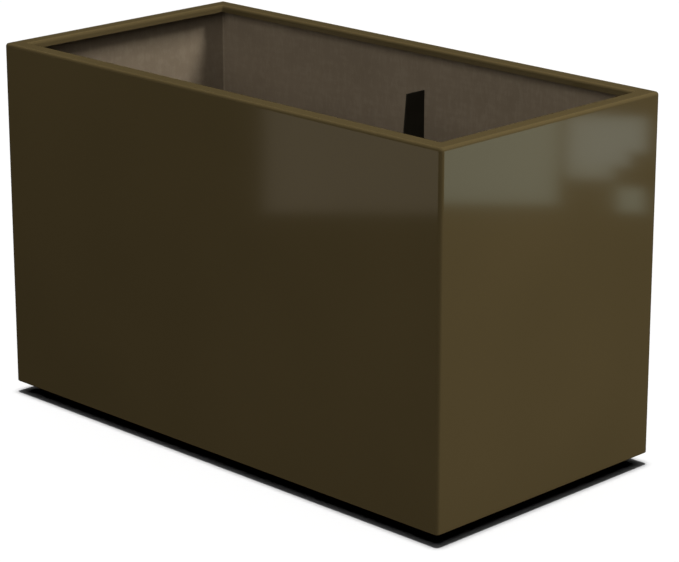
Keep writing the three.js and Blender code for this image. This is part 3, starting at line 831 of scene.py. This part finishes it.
def makeColumns():
    size = columnSizes
    low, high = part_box("support_column_1")
    radius, inner, e = size["radius"], size["radius"] - size["wall"], size["edge"]
    rim, step, f = size["radius"] + size["flange"], low.z + size["flangeHeight"], size["fillet"]
    column = spinProfile("column", [
        (inner + e, low.z), (rim - e, low.z), (rim, low.z + e), (rim, step - e), (rim - e, step),
        (radius + f, step), (radius + 0.3 * f, step + 0.3 * f), (radius, step + f),
        (radius, high.z - e), (radius - e, high.z), (inner + e, high.z), (inner, high.z - e),
        (inner, low.z + e),
    ], middleOf("support_column_1").xy, 48)
    settleRow(column, "support_column", 8, "black_plastic")


makeColumns()
print("baskets and columns made")


# ---- the filler shaft, its collar, lid and gauge

shaftSizes = {"wall": 0.0025, "corner": 0.002, "slotWidth": 0.008, "slotRise": 0.005, "slotHeight": 0.040}
shaftMiddle = (shaftLow + shaftHigh) / 2
chamber = (shaftHigh.x - shaftLow.x - 3 * shaftSizes["wall"]) / 2
gaugeX = shaftMiddle.x - (chamber + shaftSizes["wall"]) / 2
fillX = shaftMiddle.x + (chamber + shaftSizes["wall"]) / 2


def makeShaft():
    size = shaftSizes
    duct = roundedBlock("duct", shaftLow, shaftHigh, size["corner"], 5)
    chambers = [roundedBlock("chamber", (x - chamber / 2, shaftLow.y + size["wall"], shaftLow.z - past),
                             (x + chamber / 2, shaftHigh.y - size["wall"], shaftHigh.z + past), 0.001, 3)
                for x in (gaugeX, fillX)]
    cutAway(duct, chambers)
    half = size["slotWidth"] / 2
    slotLow = shaftLow.z + size["slotRise"]
    slotHigh = slotLow + size["slotHeight"]
    inlets = [((shaftLow.x - past, shaftMiddle.y - half), (shaftHigh.x + past, shaftMiddle.y + half), 0)]
    inlets += [((x - half, shaftLow.y - past), (x + half, shaftHigh.y + past), 1) for x in (gaugeX, fillX)]
    for low, high, axis in inlets:
        inlet = startBlock("inlet", (*low, slotLow), (*high, slotHigh))
        bevelEdges(inlet, lambda a, b, axis=axis: abs(a[axis] - b[axis]) > 0.01, half * 0.98, 5)
        cutAway(duct, [inlet])
    settle(duct, "filler_shaft", "black_plastic")


collarSizes = {
    "sleeve": 0.020,
    "wall": 0.004,
    "plate": 0.003,
    "gap": 0.0003,
    "ledge": 0.0031,
    "corner": 0.004,
    "guideRadius": 0.006,
    "guideHeight": 0.005,
    "rodBore": 0.0029,
    "barrel": 0.004,
    "barrelHalf": 0.011,
    "earGap": 0.0005,
    "earLength": 0.009,
    "pinBore": 0.0018,
    "edge": 0.0006,
}
pinLow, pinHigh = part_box("lid_hinge_pin")
hinge = middleOf("lid_hinge_pin")
collarTop = shaftHigh.z + collarSizes["plate"]


def hingeRod(name, radius, low, high, sides=40):
    return startRod(name, radius, (hinge.x, low, hinge.z), (hinge.x, high, hinge.z), "Y", sides)


def borePin(piece):
    cutAway(piece, [hingeRod("pinBore", collarSizes["pinBore"], pinLow.y - past, pinHigh.y + past, 24)])


def makeCollar():
    size = collarSizes
    wallAndGap = size["wall"] + size["gap"]
    low = shaftHigh.z - size["sleeve"]
    body = roundedBlock("collar", (shaftLow.x - wallAndGap, shaftLow.y - wallAndGap, low),
                        (shaftHigh.x + wallAndGap, shaftHigh.y + wallAndGap, collarTop), size["corner"], 6)
    bevelEdges(body, above(collarTop), size["edge"] * 1.6, 4)
    gap = size["gap"]
    socket = roundedBlock("socket", (shaftLow.x - gap, shaftLow.y - gap, low - past),
                          (shaftHigh.x + gap, shaftHigh.y + gap, shaftHigh.z + gap), shaftSizes["corner"], 4)
    cutAway(body, [socket])
    radius, edge, guideTop = size["guideRadius"], size["edge"], collarTop + size["guideHeight"]
    guide = spinProfile("guide", [
        (0, collarTop - 0.001), (radius + 0.0008, collarTop - 0.001), (radius + 0.0008, collarTop),
        (radius, collarTop + 0.001), (radius, guideTop - edge), (radius - edge, guideTop), (0, guideTop),
    ], (gaugeX, shaftMiddle.y), 40)
    additions = [guide]
    for side in (-1, 1):
        near = size["barrelHalf"] + size["earGap"]
        ys = sorted(shaftMiddle.y + side * away for away in (near, near + size["earLength"]))
        knuckle = hingeRod("knuckle", size["barrel"], *ys)
        ear = startBlock("ear", (shaftHigh.x + wallAndGap - 0.001, ys[0], hinge.z - size["barrel"]),
                         (hinge.x, ys[1], hinge.z))
        combine(knuckle, ear, "UNION")
        additions.append(knuckle)
    weld(body, additions)
    half = chamber / 2 - size["ledge"]
    mouth = roundedBlock("mouth", (fillX - half, shaftMiddle.y - half, shaftHigh.z - past),
                         (fillX + half, shaftMiddle.y + half, collarTop + past), 0.003, 5)
    cutAway(body, [mouth])
    cutAway(body, [uprightRod("rodBore", size["rodBore"], (gaugeX, shaftMiddle.y), shaftHigh.z - past,
                              collarTop + 2 * past, 32)])
    borePin(body)
    settle(body, "filler_collar", "grey_plastic")


lidSizes = {"plate": 0.003, "gap": 0.0003, "edge": 0.0007, "corner": 0.003, "webEdge": 0.0015}


def makeLid():
    size = lidSizes
    barrel, half = collarSizes["barrel"], collarSizes["barrelHalf"]
    low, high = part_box("filler_lid")
    plateLow = collarTop + size["gap"]
    plateHigh = plateLow + size["plate"]
    plate = startBlock("lidPlate", (low.x, low.y, plateLow), (hinge.x - barrel * 1.4, high.y, plateHigh))
    bevelEdges(plate, lambda a, b: upright(a, b) and a.x < low.x + tiny, size["corner"], 5)
    bevelEdges(plate, above(plateHigh), size["edge"], 3)
    tabHalf = (high.y - low.y) / 4
    middleY = (low.y + high.y) / 2
    tab = startBlock("lidTab", (low.x, middleY - tabHalf, plateLow),
                     (low.x + size["plate"], middleY + tabHalf, high.z))

    def isTopEnd(a, b):
        return abs(a.y - b.y) < tiny and abs(a.x - b.x) > tiny and min(a.z, b.z) > high.z - tiny
    bevelEdges(tab, isTopEnd, size["corner"], 5)
    bevelEdges(tab, lambda a, b: min(a.z, b.z) > high.z - tiny and abs(a.y - b.y) > 0.005, size["edge"], 3)
    tongue = startBlock("lidTongue", (hinge.x - barrel * 1.4 - 0.001, middleY - half, plateLow),
                        (hinge.x, middleY + half, plateHigh))
    knuckle = hingeRod("lidKnuckle", barrel, middleY - half, middleY + half)
    webEdge = size["webEdge"]
    web = startBlock("lidWeb", (hinge.x - webEdge, middleY - half, hinge.z),
                     (high.x, middleY + half, plateHigh))
    bevelEdges(web, lambda a, b: min(a.x, b.x) > high.x - tiny and min(a.z, b.z) > plateHigh - tiny,
               webEdge, 4)
    weld(plate, [tab, tongue, knuckle, web])
    borePin(plate)
    settle(plate, "filler_lid", "grey_plastic", "lid")
    pin = hingeRod("pin", (pinHigh.x - pinLow.x) / 2, pinLow.y, pinHigh.y, 32)
    softenEdges(pin, 0.0003, 2, 60)
    settle(pin, "lid_hinge_pin", "zinc_plated_steel")


gaugeSizes = {
    "rod": 0.0025,
    "collarHeight": 0.0037,
    "edge": 0.0004,
    "gap": 0.0003,
    "round": 0.003,
    "knob": 0.006,
    "rings": 4,
}


def makeGauge():
    size = gaugeSizes
    low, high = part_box("gauge_float")
    middle = ((low.x + high.x) / 2, (low.y + high.y) / 2)
    radius, r, bore = (high.x - low.x) / 2, size["round"], size["rod"] + size["gap"]
    floatPiece = spinProfile("float", [
        (bore, low.z), (radius - r, low.z), (radius - 0.4 * r, low.z + 0.25 * r),
        (radius - 0.1 * r, low.z + 0.6 * r), (radius, low.z + r), (radius, high.z - r),
        (radius - 0.1 * r, high.z - 0.6 * r),
        (radius - 0.4 * r, high.z - 0.25 * r), (radius - r, high.z), (bore, high.z),
    ], middle, 48)
    settle(floatPiece, "gauge_float", "pale_foam", "gauge")
    rodLow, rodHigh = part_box("gauge_rod")
    thin, wide, e = size["rod"], 2 * size["rod"], size["edge"]
    collarUp = rodLow.z + size["collarHeight"]
    rod = spinProfile("rod", [
        (0, rodLow.z), (wide - e, rodLow.z), (wide, rodLow.z + e), (wide, collarUp - e), (wide - e, collarUp),
        (thin, collarUp), (thin, rodHigh.z - 0.0005), (thin - 0.0005, rodHigh.z), (0, rodHigh.z),
    ], middle, 32)
    settle(rod, "gauge_rod", "zinc_plated_steel", "gauge")
    tipLow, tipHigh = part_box("gauge_tip")
    knob, height = size["knob"], tipHigh.z - tipLow.z
    profile = [(bore, tipLow.z), (knob - e, tipLow.z), (knob, tipLow.z + e)]
    ringStep = 0.5 * height / size["rings"]
    for ring in range(size["rings"]):
        at = tipLow.z + 0.0008 + ring * ringStep
        profile += [(knob, at), (knob, at + 0.6 * ringStep), (knob - 0.0005, at + 0.7 * ringStep),
                    (knob - 0.0005, at + 0.95 * ringStep)]
    shoulder = tipLow.z + 0.62 * height
    top, socketTop = tipHigh.z, tipLow.z + height / 2 + size["gap"]
    profile += [(knob, shoulder), (knob * 0.96, shoulder + 0.1 * height), (knob * 0.82, top - 0.13 * height),
                (knob * 0.55, top - 0.04 * height), (knob * 0.25, top - 0.005 * height), (0, top),
                (0, socketTop), (bore, socketTop)]
    tip = spinProfile("tip", profile, middle, 40)
    settle(tip, "gauge_tip", "red_plastic", "gauge")


bracketSizes = {"thickness": 0.003, "bend": 0.0025, "innerBend": 0.0018, "gap": 0.0003, "earEnd": 0.001}


def makeBracket():
    size = bracketSizes
    low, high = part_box("shaft_bracket")
    inner = shaftHigh.x - shaftMiddle.x + size["gap"]
    outer = inner + size["thickness"]
    strap = startBlock("strap", (shaftMiddle.x - outer, low.y, low.z),
                       (shaftMiddle.x + outer, high.y, high.z))
    earCore = startBlock("ears", low, (high.x, low.y + size["thickness"], high.z))
    combine(strap, earCore, "UNION")
    bevelEdges(strap, lambda a, b: upright(a, b) and a.y > high.y - tiny, size["bend"], 5)
    bevelEdges(strap, lambda a, b: upright(a, b) and abs(abs(a.x - shaftMiddle.x) - outer) < tiny
               and abs(a.y - low.y - size["thickness"]) < tiny, size["bend"], 5)
    cutAway(strap, [roundedBlock("strapHollow", (shaftMiddle.x - inner, low.y - past, low.z - past),
                                 (shaftMiddle.x + inner, high.y - size["thickness"], high.z + past),
                                 size["innerBend"], 4)])
    edit(strap)
    bpy.ops.mesh.select_all(action="SELECT")
    bpy.ops.mesh.remove_doubles(threshold=tiny)
    toObjectMode()
    bevelEdges(strap, lambda a, b: upright(a, b) and min(abs(a.x - low.x), abs(a.x - high.x)) < tiny,
               size["earEnd"], 3)
    settle(strap, "shaft_bracket", "black_plastic")


makeShaft()
makeCollar()
makeLid()
makeGauge()
makeBracket()
print("filler made")


# ---- outlets through the floor

outletSizes = {
    "body": 0.013,
    "bore": 0.0095,
    "flange": 0.022,
    "step": 0.0075,
    "stepHeight": 0.010,
    "thread": 0.0015,
    "threadDepth": 0.0005,
    "nut": 0.020,
    "pipeWall": 0.0017,
    "edge": 0.0005,
    "gap": 0.0003,
}


def ringPiece(name, inner, outer, low, high, centre, edge, steps=64):
    return spinProfile(name, [
        (inner + edge, low), (outer - edge, low), (outer, low + edge), (outer, high - edge),
        (outer - edge, high), (inner + edge, high), (inner, high - edge), (inner, low + edge),
    ], centre, steps)


def makeOutlet(prefix, centre, stepped):
    size, e = outletSizes, outletSizes["edge"]
    gasketLow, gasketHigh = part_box(f"{prefix}_gasket")
    inner = size["body"] + size["gap"]
    gasket = ringPiece("gasket", inner, size["flange"], gasketLow.z, gasketHigh.z, centre, e)
    settle(gasket, f"{prefix}_gasket", "black_rubber")
    low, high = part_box(f"{prefix}_fitting")
    flangeLow = gasketHigh.z + size["gap"]
    profile = [(size["step"], low.z + e), (size["step"] + e, low.z), (size["body"] - 0.001, low.z)]
    threadTop = flangeLow - 0.001
    count = int((threadTop - low.z - 0.001) / size["thread"])
    pitch = (threadTop - low.z - 0.001) / count
    profile += ridges(count, low.z + 0.001, pitch, size["body"] - size["threadDepth"], size["body"])
    flange = size["flange"]
    profile += [(size["body"], flangeLow), (flange - e, flangeLow), (flange, flangeLow + e),
                (flange, high.z - 2 * e), (flange - 2 * e, high.z), (size["bore"] + e, high.z),
                (size["bore"], high.z - e)]
    if stepped:
        profile += [(size["bore"], low.z + size["stepHeight"]), (size["step"], low.z + size["stepHeight"])]
    else:
        profile[0] = (size["bore"], low.z + e)
        profile[1] = (size["bore"] + e, low.z)
    fitting = spinProfile("fitting", profile, centre, 64)
    settle(fitting, f"{prefix}_fitting", "black_plastic")
    nutLow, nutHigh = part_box(f"{prefix}_nut")
    nut = uprightRod("nut", size["nut"], centre, nutLow.z, nutHigh.z, 6)
    bevelEdges(nut, upright, 0.0012, 4)
    bevelEdges(nut, below(nutLow.z), 0.0007, 3)
    cutAway(nut, [uprightRod("nutBore", size["body"] + size["gap"], centre, nutLow.z - past,
                             nutHigh.z + past, 64)])
    settle(nut, f"{prefix}_nut", "black_plastic")


strainerSizes = {"wall": 0.0045, "plate": 0.002, "slots": 6, "slotWidth": 0.004}


def makeOverflow():
    size, e = outletSizes, outletSizes["edge"]
    centre = outlets[0]
    pipeLow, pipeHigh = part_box("overflow_pipe")
    pipeRadius = (pipeHigh.x - pipeLow.x) / 2
    pipe = ringPiece("pipe", pipeRadius - size["pipeWall"], pipeRadius, pipeLow.z, pipeHigh.z, centre, e, 48)
    settle(pipe, "overflow_pipe", "grey_plastic")
    low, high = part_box("overflow_strainer")
    look = strainerSizes
    inside = pipeRadius + size["gap"]
    outside = inside + look["wall"]
    head = high.z - look["plate"]
    cap = spinProfile("strainer", [
        (inside + e, low.z), (outside - e, low.z), (outside, low.z + e), (outside, head),
        (outside - 0.4 * look["wall"], head + 0.7 * look["plate"]), (inside, high.z), (0, high.z), (0, head),
        (inside, head), (inside, low.z + e),
    ], centre, 72)
    slotRound(cap, centre, look["slots"], 5 * past, look["slotWidth"], pipeHigh.z + size["gap"], head - 0.001)
    settle(cap, "overflow_strainer", "black_plastic")


plugSizes = {
    "head": 0.014,
    "headHeight": 0.0037,
    "coinSlot": 0.002,
    "coinHalf": 0.001,
    "thread": 0.0015,
    "threadDepth": 0.0005,
    "flutes": 12,
    "fluteRadius": 0.0011,
}


def makePlug():
    size = plugSizes
    centre = outlets[1]
    washerLow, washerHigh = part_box("drain_washer")
    washer = ringPiece("washer", outletSizes["bore"], size["head"], washerLow.z, washerHigh.z, centre,
                       0.0004, 48)
    settle(washer, "drain_washer", "black_rubber", "washer")
    low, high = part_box("drain_plug")
    headTop = low.z + size["headHeight"]
    shank = outletSizes["bore"] - outletSizes["gap"]
    head, root = size["head"], shank - size["threadDepth"]
    profile = [(0, low.z), (head - 0.0006, low.z), (head, low.z + 0.0006), (head, headTop - 0.0004),
               (head - 0.0004, headTop), (root, headTop)]
    threadLow = washerHigh.z + 0.0005
    count = int((high.z - threadLow - 0.001) / size["thread"])
    profile += ridges(count, threadLow, size["thread"], root, shank)
    profile += [(shank - 0.001, high.z), (0, high.z)]
    plug = spinProfile("plug", profile, centre, 48)
    reach, half = 2 * past, size["coinHalf"]
    coinSlot = startBlock("coinSlot", (centre[0] - reach, centre[1] - half, low.z - past),
                          (centre[0] + reach, centre[1] + half, low.z + size["coinSlot"]))
    flutes = []
    for i in range(size["flutes"]):
        spot = onRing(centre, head + 0.0003, (i + 0.5) * fullTurn / size["flutes"])
        flutes.append(uprightRod("flute", size["fluteRadius"], spot, low.z - past, headTop + 0.0004, 12))
    cutAway(plug, [coinSlot])
    cutAway(plug, flutes)
    settle(plug, "drain_plug", "grey_plastic", "plug")


makeOutlet("overflow", outlets[0], True)
makeOutlet("drain", outlets[1], False)
makeOverflow()
makePlug()
print("outlets made")


# ---- levelling feet

footSizes = {
    "insert": 0.011,
    "flange": 0.016,
    "flangeHeight": 0.002,
    "bore": 0.0053,
    "stem": 0.005,
    "hex": 0.0095,
    "hexHeight": 0.0064,
    "neck": 0.004,
    "ball": 0.0055,
    "ballHeight": 0.0027,
    "pad": 0.024,
    "padTop": 0.012,
    "padBase": 0.003,
    "gap": 0.0003,
    "thread": 0.0015,
    "threadDepth": 0.0007,
    "knurls": 5,
    "grooveDepth": 0.0006,
}


def makeFeet():
    size = footSizes
    centre = feet[0].xy
    low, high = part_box("foot_insert_1")
    flangeTop = low.z + size["flangeHeight"]
    bore, flange, outer = size["bore"], size["flange"], size["insert"]
    groove = outer - size["grooveDepth"]
    profile = [(bore + 0.0004, low.z), (flange - 0.0005, low.z), (flange, low.z + 0.0005),
               (flange, flangeTop - 0.0003), (flange - 0.0003, flangeTop), (groove, flangeTop)]
    band = (high.z - flangeTop - 0.004) / size["knurls"]
    for i in range(size["knurls"]):
        at = flangeTop + 0.002 + i * band
        profile += [(groove, at), (outer, at + 0.2 * band), (outer, at + 0.8 * band), (groove, at + band)]
    profile += [(outer - 0.001, high.z), (bore + 0.0004, high.z), (bore, high.z - 0.0004),
                (bore, low.z + 0.0004)]
    insert = spinProfile("insert", profile, centre, 48)

    stemLow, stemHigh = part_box("foot_stem_1")
    hexTop = low.z - size["gap"]
    hexLow = hexTop - size["hexHeight"]
    count = int((stemHigh.z - hexTop - 0.002) / size["thread"])
    root = size["stem"] - size["threadDepth"]
    profile = [(0, hexTop - 0.001), (root, hexTop - 0.001)]
    profile += ridges(count, hexTop, size["thread"], root, size["stem"])
    profile += [(size["stem"] - 0.0014, stemHigh.z), (0, stemHigh.z)]
    screw = spinProfile("screw", profile, centre, 32)
    hexagon = uprightRod("hexagon", size["hex"], centre, hexLow, hexTop, 6)
    bevelEdges(hexagon, upright, 0.0003, 2)
    bevelEdges(hexagon, lambda a, b: abs(a.z - b.z) < tiny, 0.0004, 2)
    ballLow = stemLow.z
    ballTop = ballLow + size["ballHeight"]
    b = size["ball"]
    ball = spinProfile("ball", [
        (0, ballLow), (0.6 * b, ballLow), (0.88 * b, ballLow + 0.2 * size["ballHeight"]),
        (b, ballLow + 0.5 * size["ballHeight"]), (0.9 * b, ballTop - 0.15 * size["ballHeight"]),
        (size["neck"], ballTop), (size["neck"], hexLow + 0.001), (0, hexLow + 0.001),
    ], centre, 32)
    stem = weld(hexagon, [screw, ball])

    padLow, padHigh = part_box("foot_pad_1")
    pocketTop = size["padBase"] + size["ballHeight"] + 2 * size["gap"]
    p, top, neck, pocket = size["pad"], size["padTop"], size["neck"] + size["gap"], size["ball"] + size["gap"]
    pad = spinProfile("pad", [
        (0, padLow.z), (p - 0.0008, padLow.z), (p, padLow.z + 0.0008), (p, 0.0032), (p - 0.0006, 0.004),
        (p - 0.003, 0.0045), (p - 0.006, 0.0056), (top + 0.0015, 0.0086), (top, 0.0096),
        (top - 0.0008, padHigh.z), (neck + 0.0005, padHigh.z), (neck, padHigh.z - 0.0005),
        (neck, pocketTop), (pocket, pocketTop), (pocket, size["padBase"]), (0, size["padBase"]),
    ], centre, 64)
    for number in range(1, 5):
        shift = feet[number - 1] - feet[0]
        shift.z = 0
        for pattern, word, slotName, body in (
            (insert, "insert", "zinc_plated_steel", "planter"),
            (stem, "stem", "zinc_plated_steel", f"stem_{number}"),
            (pad, "pad", "black_plastic", f"pad_{number}"),
        ):
            settle(copyOf(pattern, word, shift), f"foot_{word}_{number}", slotName, body)
    for pattern in (insert, stem, pad):
        bpy.data.objects.remove(pattern)


makeFeet()
print("feet made")


# ---- floor, light and camera

cameraPlace = {
    "heading": 44.871,
    "rise": 17.314,
    "distance": 4.519,
    "lens": 145.7,
    "target": (0.0447, 0.0, 0.2658),
}


def makeCamera():
    place = cameraPlace
    heading, rise = math.radians(place["heading"]), math.radians(place["rise"])
    back = Vector((math.sin(heading) * math.cos(rise), -math.cos(heading) * math.cos(rise), math.sin(rise)))
    target = Vector(place["target"])
    bpy.ops.object.camera_add(location=target + back * place["distance"])
    camera = bpy.context.object
    camera.rotation_mode = "QUATERNION"
    camera.rotation_quaternion = (-back).to_track_quat("-Z", "Y")
    camera.data.lens = place["lens"]
    camera.data.sensor_width = 36
    camera.data.clip_end = 200
    bpy.context.scene.camera = camera
    return camera


studio = {
    "floorSize": 160.0,
    "windowsAway": 12.0,
    "floorShade": rgb(0.95, 0.95, 0.95),
    "overFloor": {"crisp": (3.08, 2.4), "hazy": (0.34, 80.0)},  # strength and spread of the floor's two suns
    "lamps": {  # where each stands, its width and height, and the light it gives a face turned towards it
        "key": {"place": (2.0, 1.45, 4.3), "wide": 0.5, "tall": 2.2, "light": 1.36},
        "front": {"place": (1.6, -3.2, 2.3), "wide": 2.0, "tall": 2.0, "light": 0.50},
        "lowFront": {"place": (-3.8, -3.4, 0.42), "wide": 2.2, "tall": 0.44, "light": 0.19},
        "lowRight": {"place": (4.1, 1.2, 0.42), "wide": 2.2, "tall": 0.44, "light": 0.40},
        "rear": {"place": (-0.6, 3.6, 2.4), "wide": 2.2, "tall": 2.2, "light": 0.12},
        "left": {"place": (-2.6, 0.4, 3.4), "wide": 2.2, "tall": 2.2, "light": 0.62},
    },
}


def makeFloor():
    bpy.ops.mesh.primitive_plane_add(size=studio["floorSize"])
    floor = bpy.context.object
    floor.name = "studio_floor"
    finish = Finish("paleFloor", {"Specular IOR Level": 0.0, "Roughness": 0.9})
    finish.set("Base Color", studio["floorShade"])
    floor.data.materials.append(finish.material)
    floor.visible_glossy = False
    floor.visible_diffuse = False
    return floor


def makeLamp(name, place, target, size, sizeY, radiance):
    bpy.ops.object.light_add(type="AREA", location=place)
    lamp = bpy.context.object
    lamp.name = name
    lamp.data.shape = "RECTANGLE"
    lamp.data.size = size
    lamp.data.size_y = sizeY
    lamp.data.energy = radiance * math.pi * size * sizeY
    lamp.visible_camera = False
    aim = Vector(target) - Vector(place)
    lamp.rotation_mode = "QUATERNION"
    lamp.rotation_quaternion = aim.to_track_quat("-Z", "Y")
    return lamp


# The floor has suns of its own straight above it, so the soft lamps leave it alone.
def lightFloor(floor):
    only = bpy.data.collections.new("onlyTheFloor")
    only.objects.link(floor)
    for name, (strength, spread) in studio["overFloor"].items():
        bpy.ops.object.light_add(type="SUN", location=(0, 0, 6))
        sun = bpy.context.object
        sun.name = name + "OverFloor"
        sun.data.energy = strength
        sun.data.angle = math.radians(spread)
        sun.light_linking.receiver_collection = only
    spared = bpy.data.collections.new("allButTheFloor")
    spared.objects.link(floor)
    spared.collection_objects[0].light_linking.link_state = "EXCLUDE"
    return spared


def lightPiece(spared):
    middle = Vector((0, 0, 0.35))
    for name, lamp in studio["lamps"].items():
        distance = (Vector(lamp["place"]) - middle).length
        radiance = lamp["light"] * math.pi * distance ** 2 / (lamp["wide"] * lamp["tall"])
        made = makeLamp(name, lamp["place"], middle, lamp["wide"], lamp["tall"], radiance)
        made.visible_glossy = False
        made.light_linking.receiver_collection = spared


def makeWorld():
    world = bpy.data.worlds.new("studioWorld")
    bpy.context.scene.world = world
    world.use_nodes = True
    tree = world.node_tree
    tree.nodes.clear()
    output = tree.nodes.new("ShaderNodeOutputWorld")
    seen = tree.nodes.new("ShaderNodeBackground")
    unseen = tree.nodes.new("ShaderNodeBackground")
    path = tree.nodes.new("ShaderNodeLightPath")
    choose = tree.nodes.new("ShaderNodeMixShader")
    seen.inputs["Color"].default_value = (1, 1, 1, 1)
    unseen.inputs["Color"].default_value = (0, 0, 0, 1)
    tree.links.new(path.outputs["Is Camera Ray"], choose.inputs[0])
    tree.links.new(unseen.outputs[0], choose.inputs[1])
    tree.links.new(seen.outputs[0], choose.inputs[2])
    tree.links.new(choose.outputs[0], output.inputs["Surface"])


# Windows that only the gloss shows. Each face mirrors its own, in degrees of heading and drop.
windows = [
    {"face": "right", "turn": (40.17, 43.2), "drop": (12.9, 15.68), "glow": (0.86, 1.04, 0.89)},
    {"face": "right", "turn": (38.28, 39.98), "drop": (13.8, 14.55), "glow": (1.16, 1.33, 1.22)},
    {"face": "right", "turn": (38.65, 39.98), "drop": (14.55, 14.85), "glow": (1.16, 1.33, 1.22)},
    {"face": "right", "turn": (39.00, 39.98), "drop": (14.85, 15.12), "glow": (1.05, 1.20, 1.05)},
    {"face": "right", "turn": (38.28, 38.9), "drop": (15.28, 15.8), "glow": (0.95, 1.12, 0.95)},
    {"face": "front", "turn": (-138.0, -133.5), "drop": (12.9, 15.9), "glow": (0.48, 0.42, 0.33)},
]


def makeWindows(camera):
    distance = studio["windowsAway"]
    for number, window in enumerate(windows):
        viewer = camera.location.copy()
        if window["face"] == "right":
            viewer.x = 2 * shellHigh.x - viewer.x
        else:
            viewer.y = 2 * shellLow.y - viewer.y
        turn = math.radians(sum(window["turn"]) / 2)
        drop = math.radians(sum(window["drop"]) / 2)
        out = Vector((math.sin(turn) * math.cos(drop), math.cos(turn) * math.cos(drop), -math.sin(drop)))
        wide = 2 * distance * math.tan(math.radians(window["turn"][1] - window["turn"][0]) / 2)
        wide *= math.cos(drop)
        tall = 2 * distance * math.tan(math.radians(window["drop"][1] - window["drop"][0]) / 2)
        lamp = makeLamp(f"window{number}", viewer + out * distance, viewer, wide, tall, 1.0)
        lamp.data.color = window["glow"]
        lamp.visible_diffuse = False


camera = makeCamera()
spared = lightFloor(makeFloor())
lightPiece(spared)
makeWorld()
makeWindows(camera)
bpy.context.scene.view_settings.view_transform = "Standard"
print("studio made")
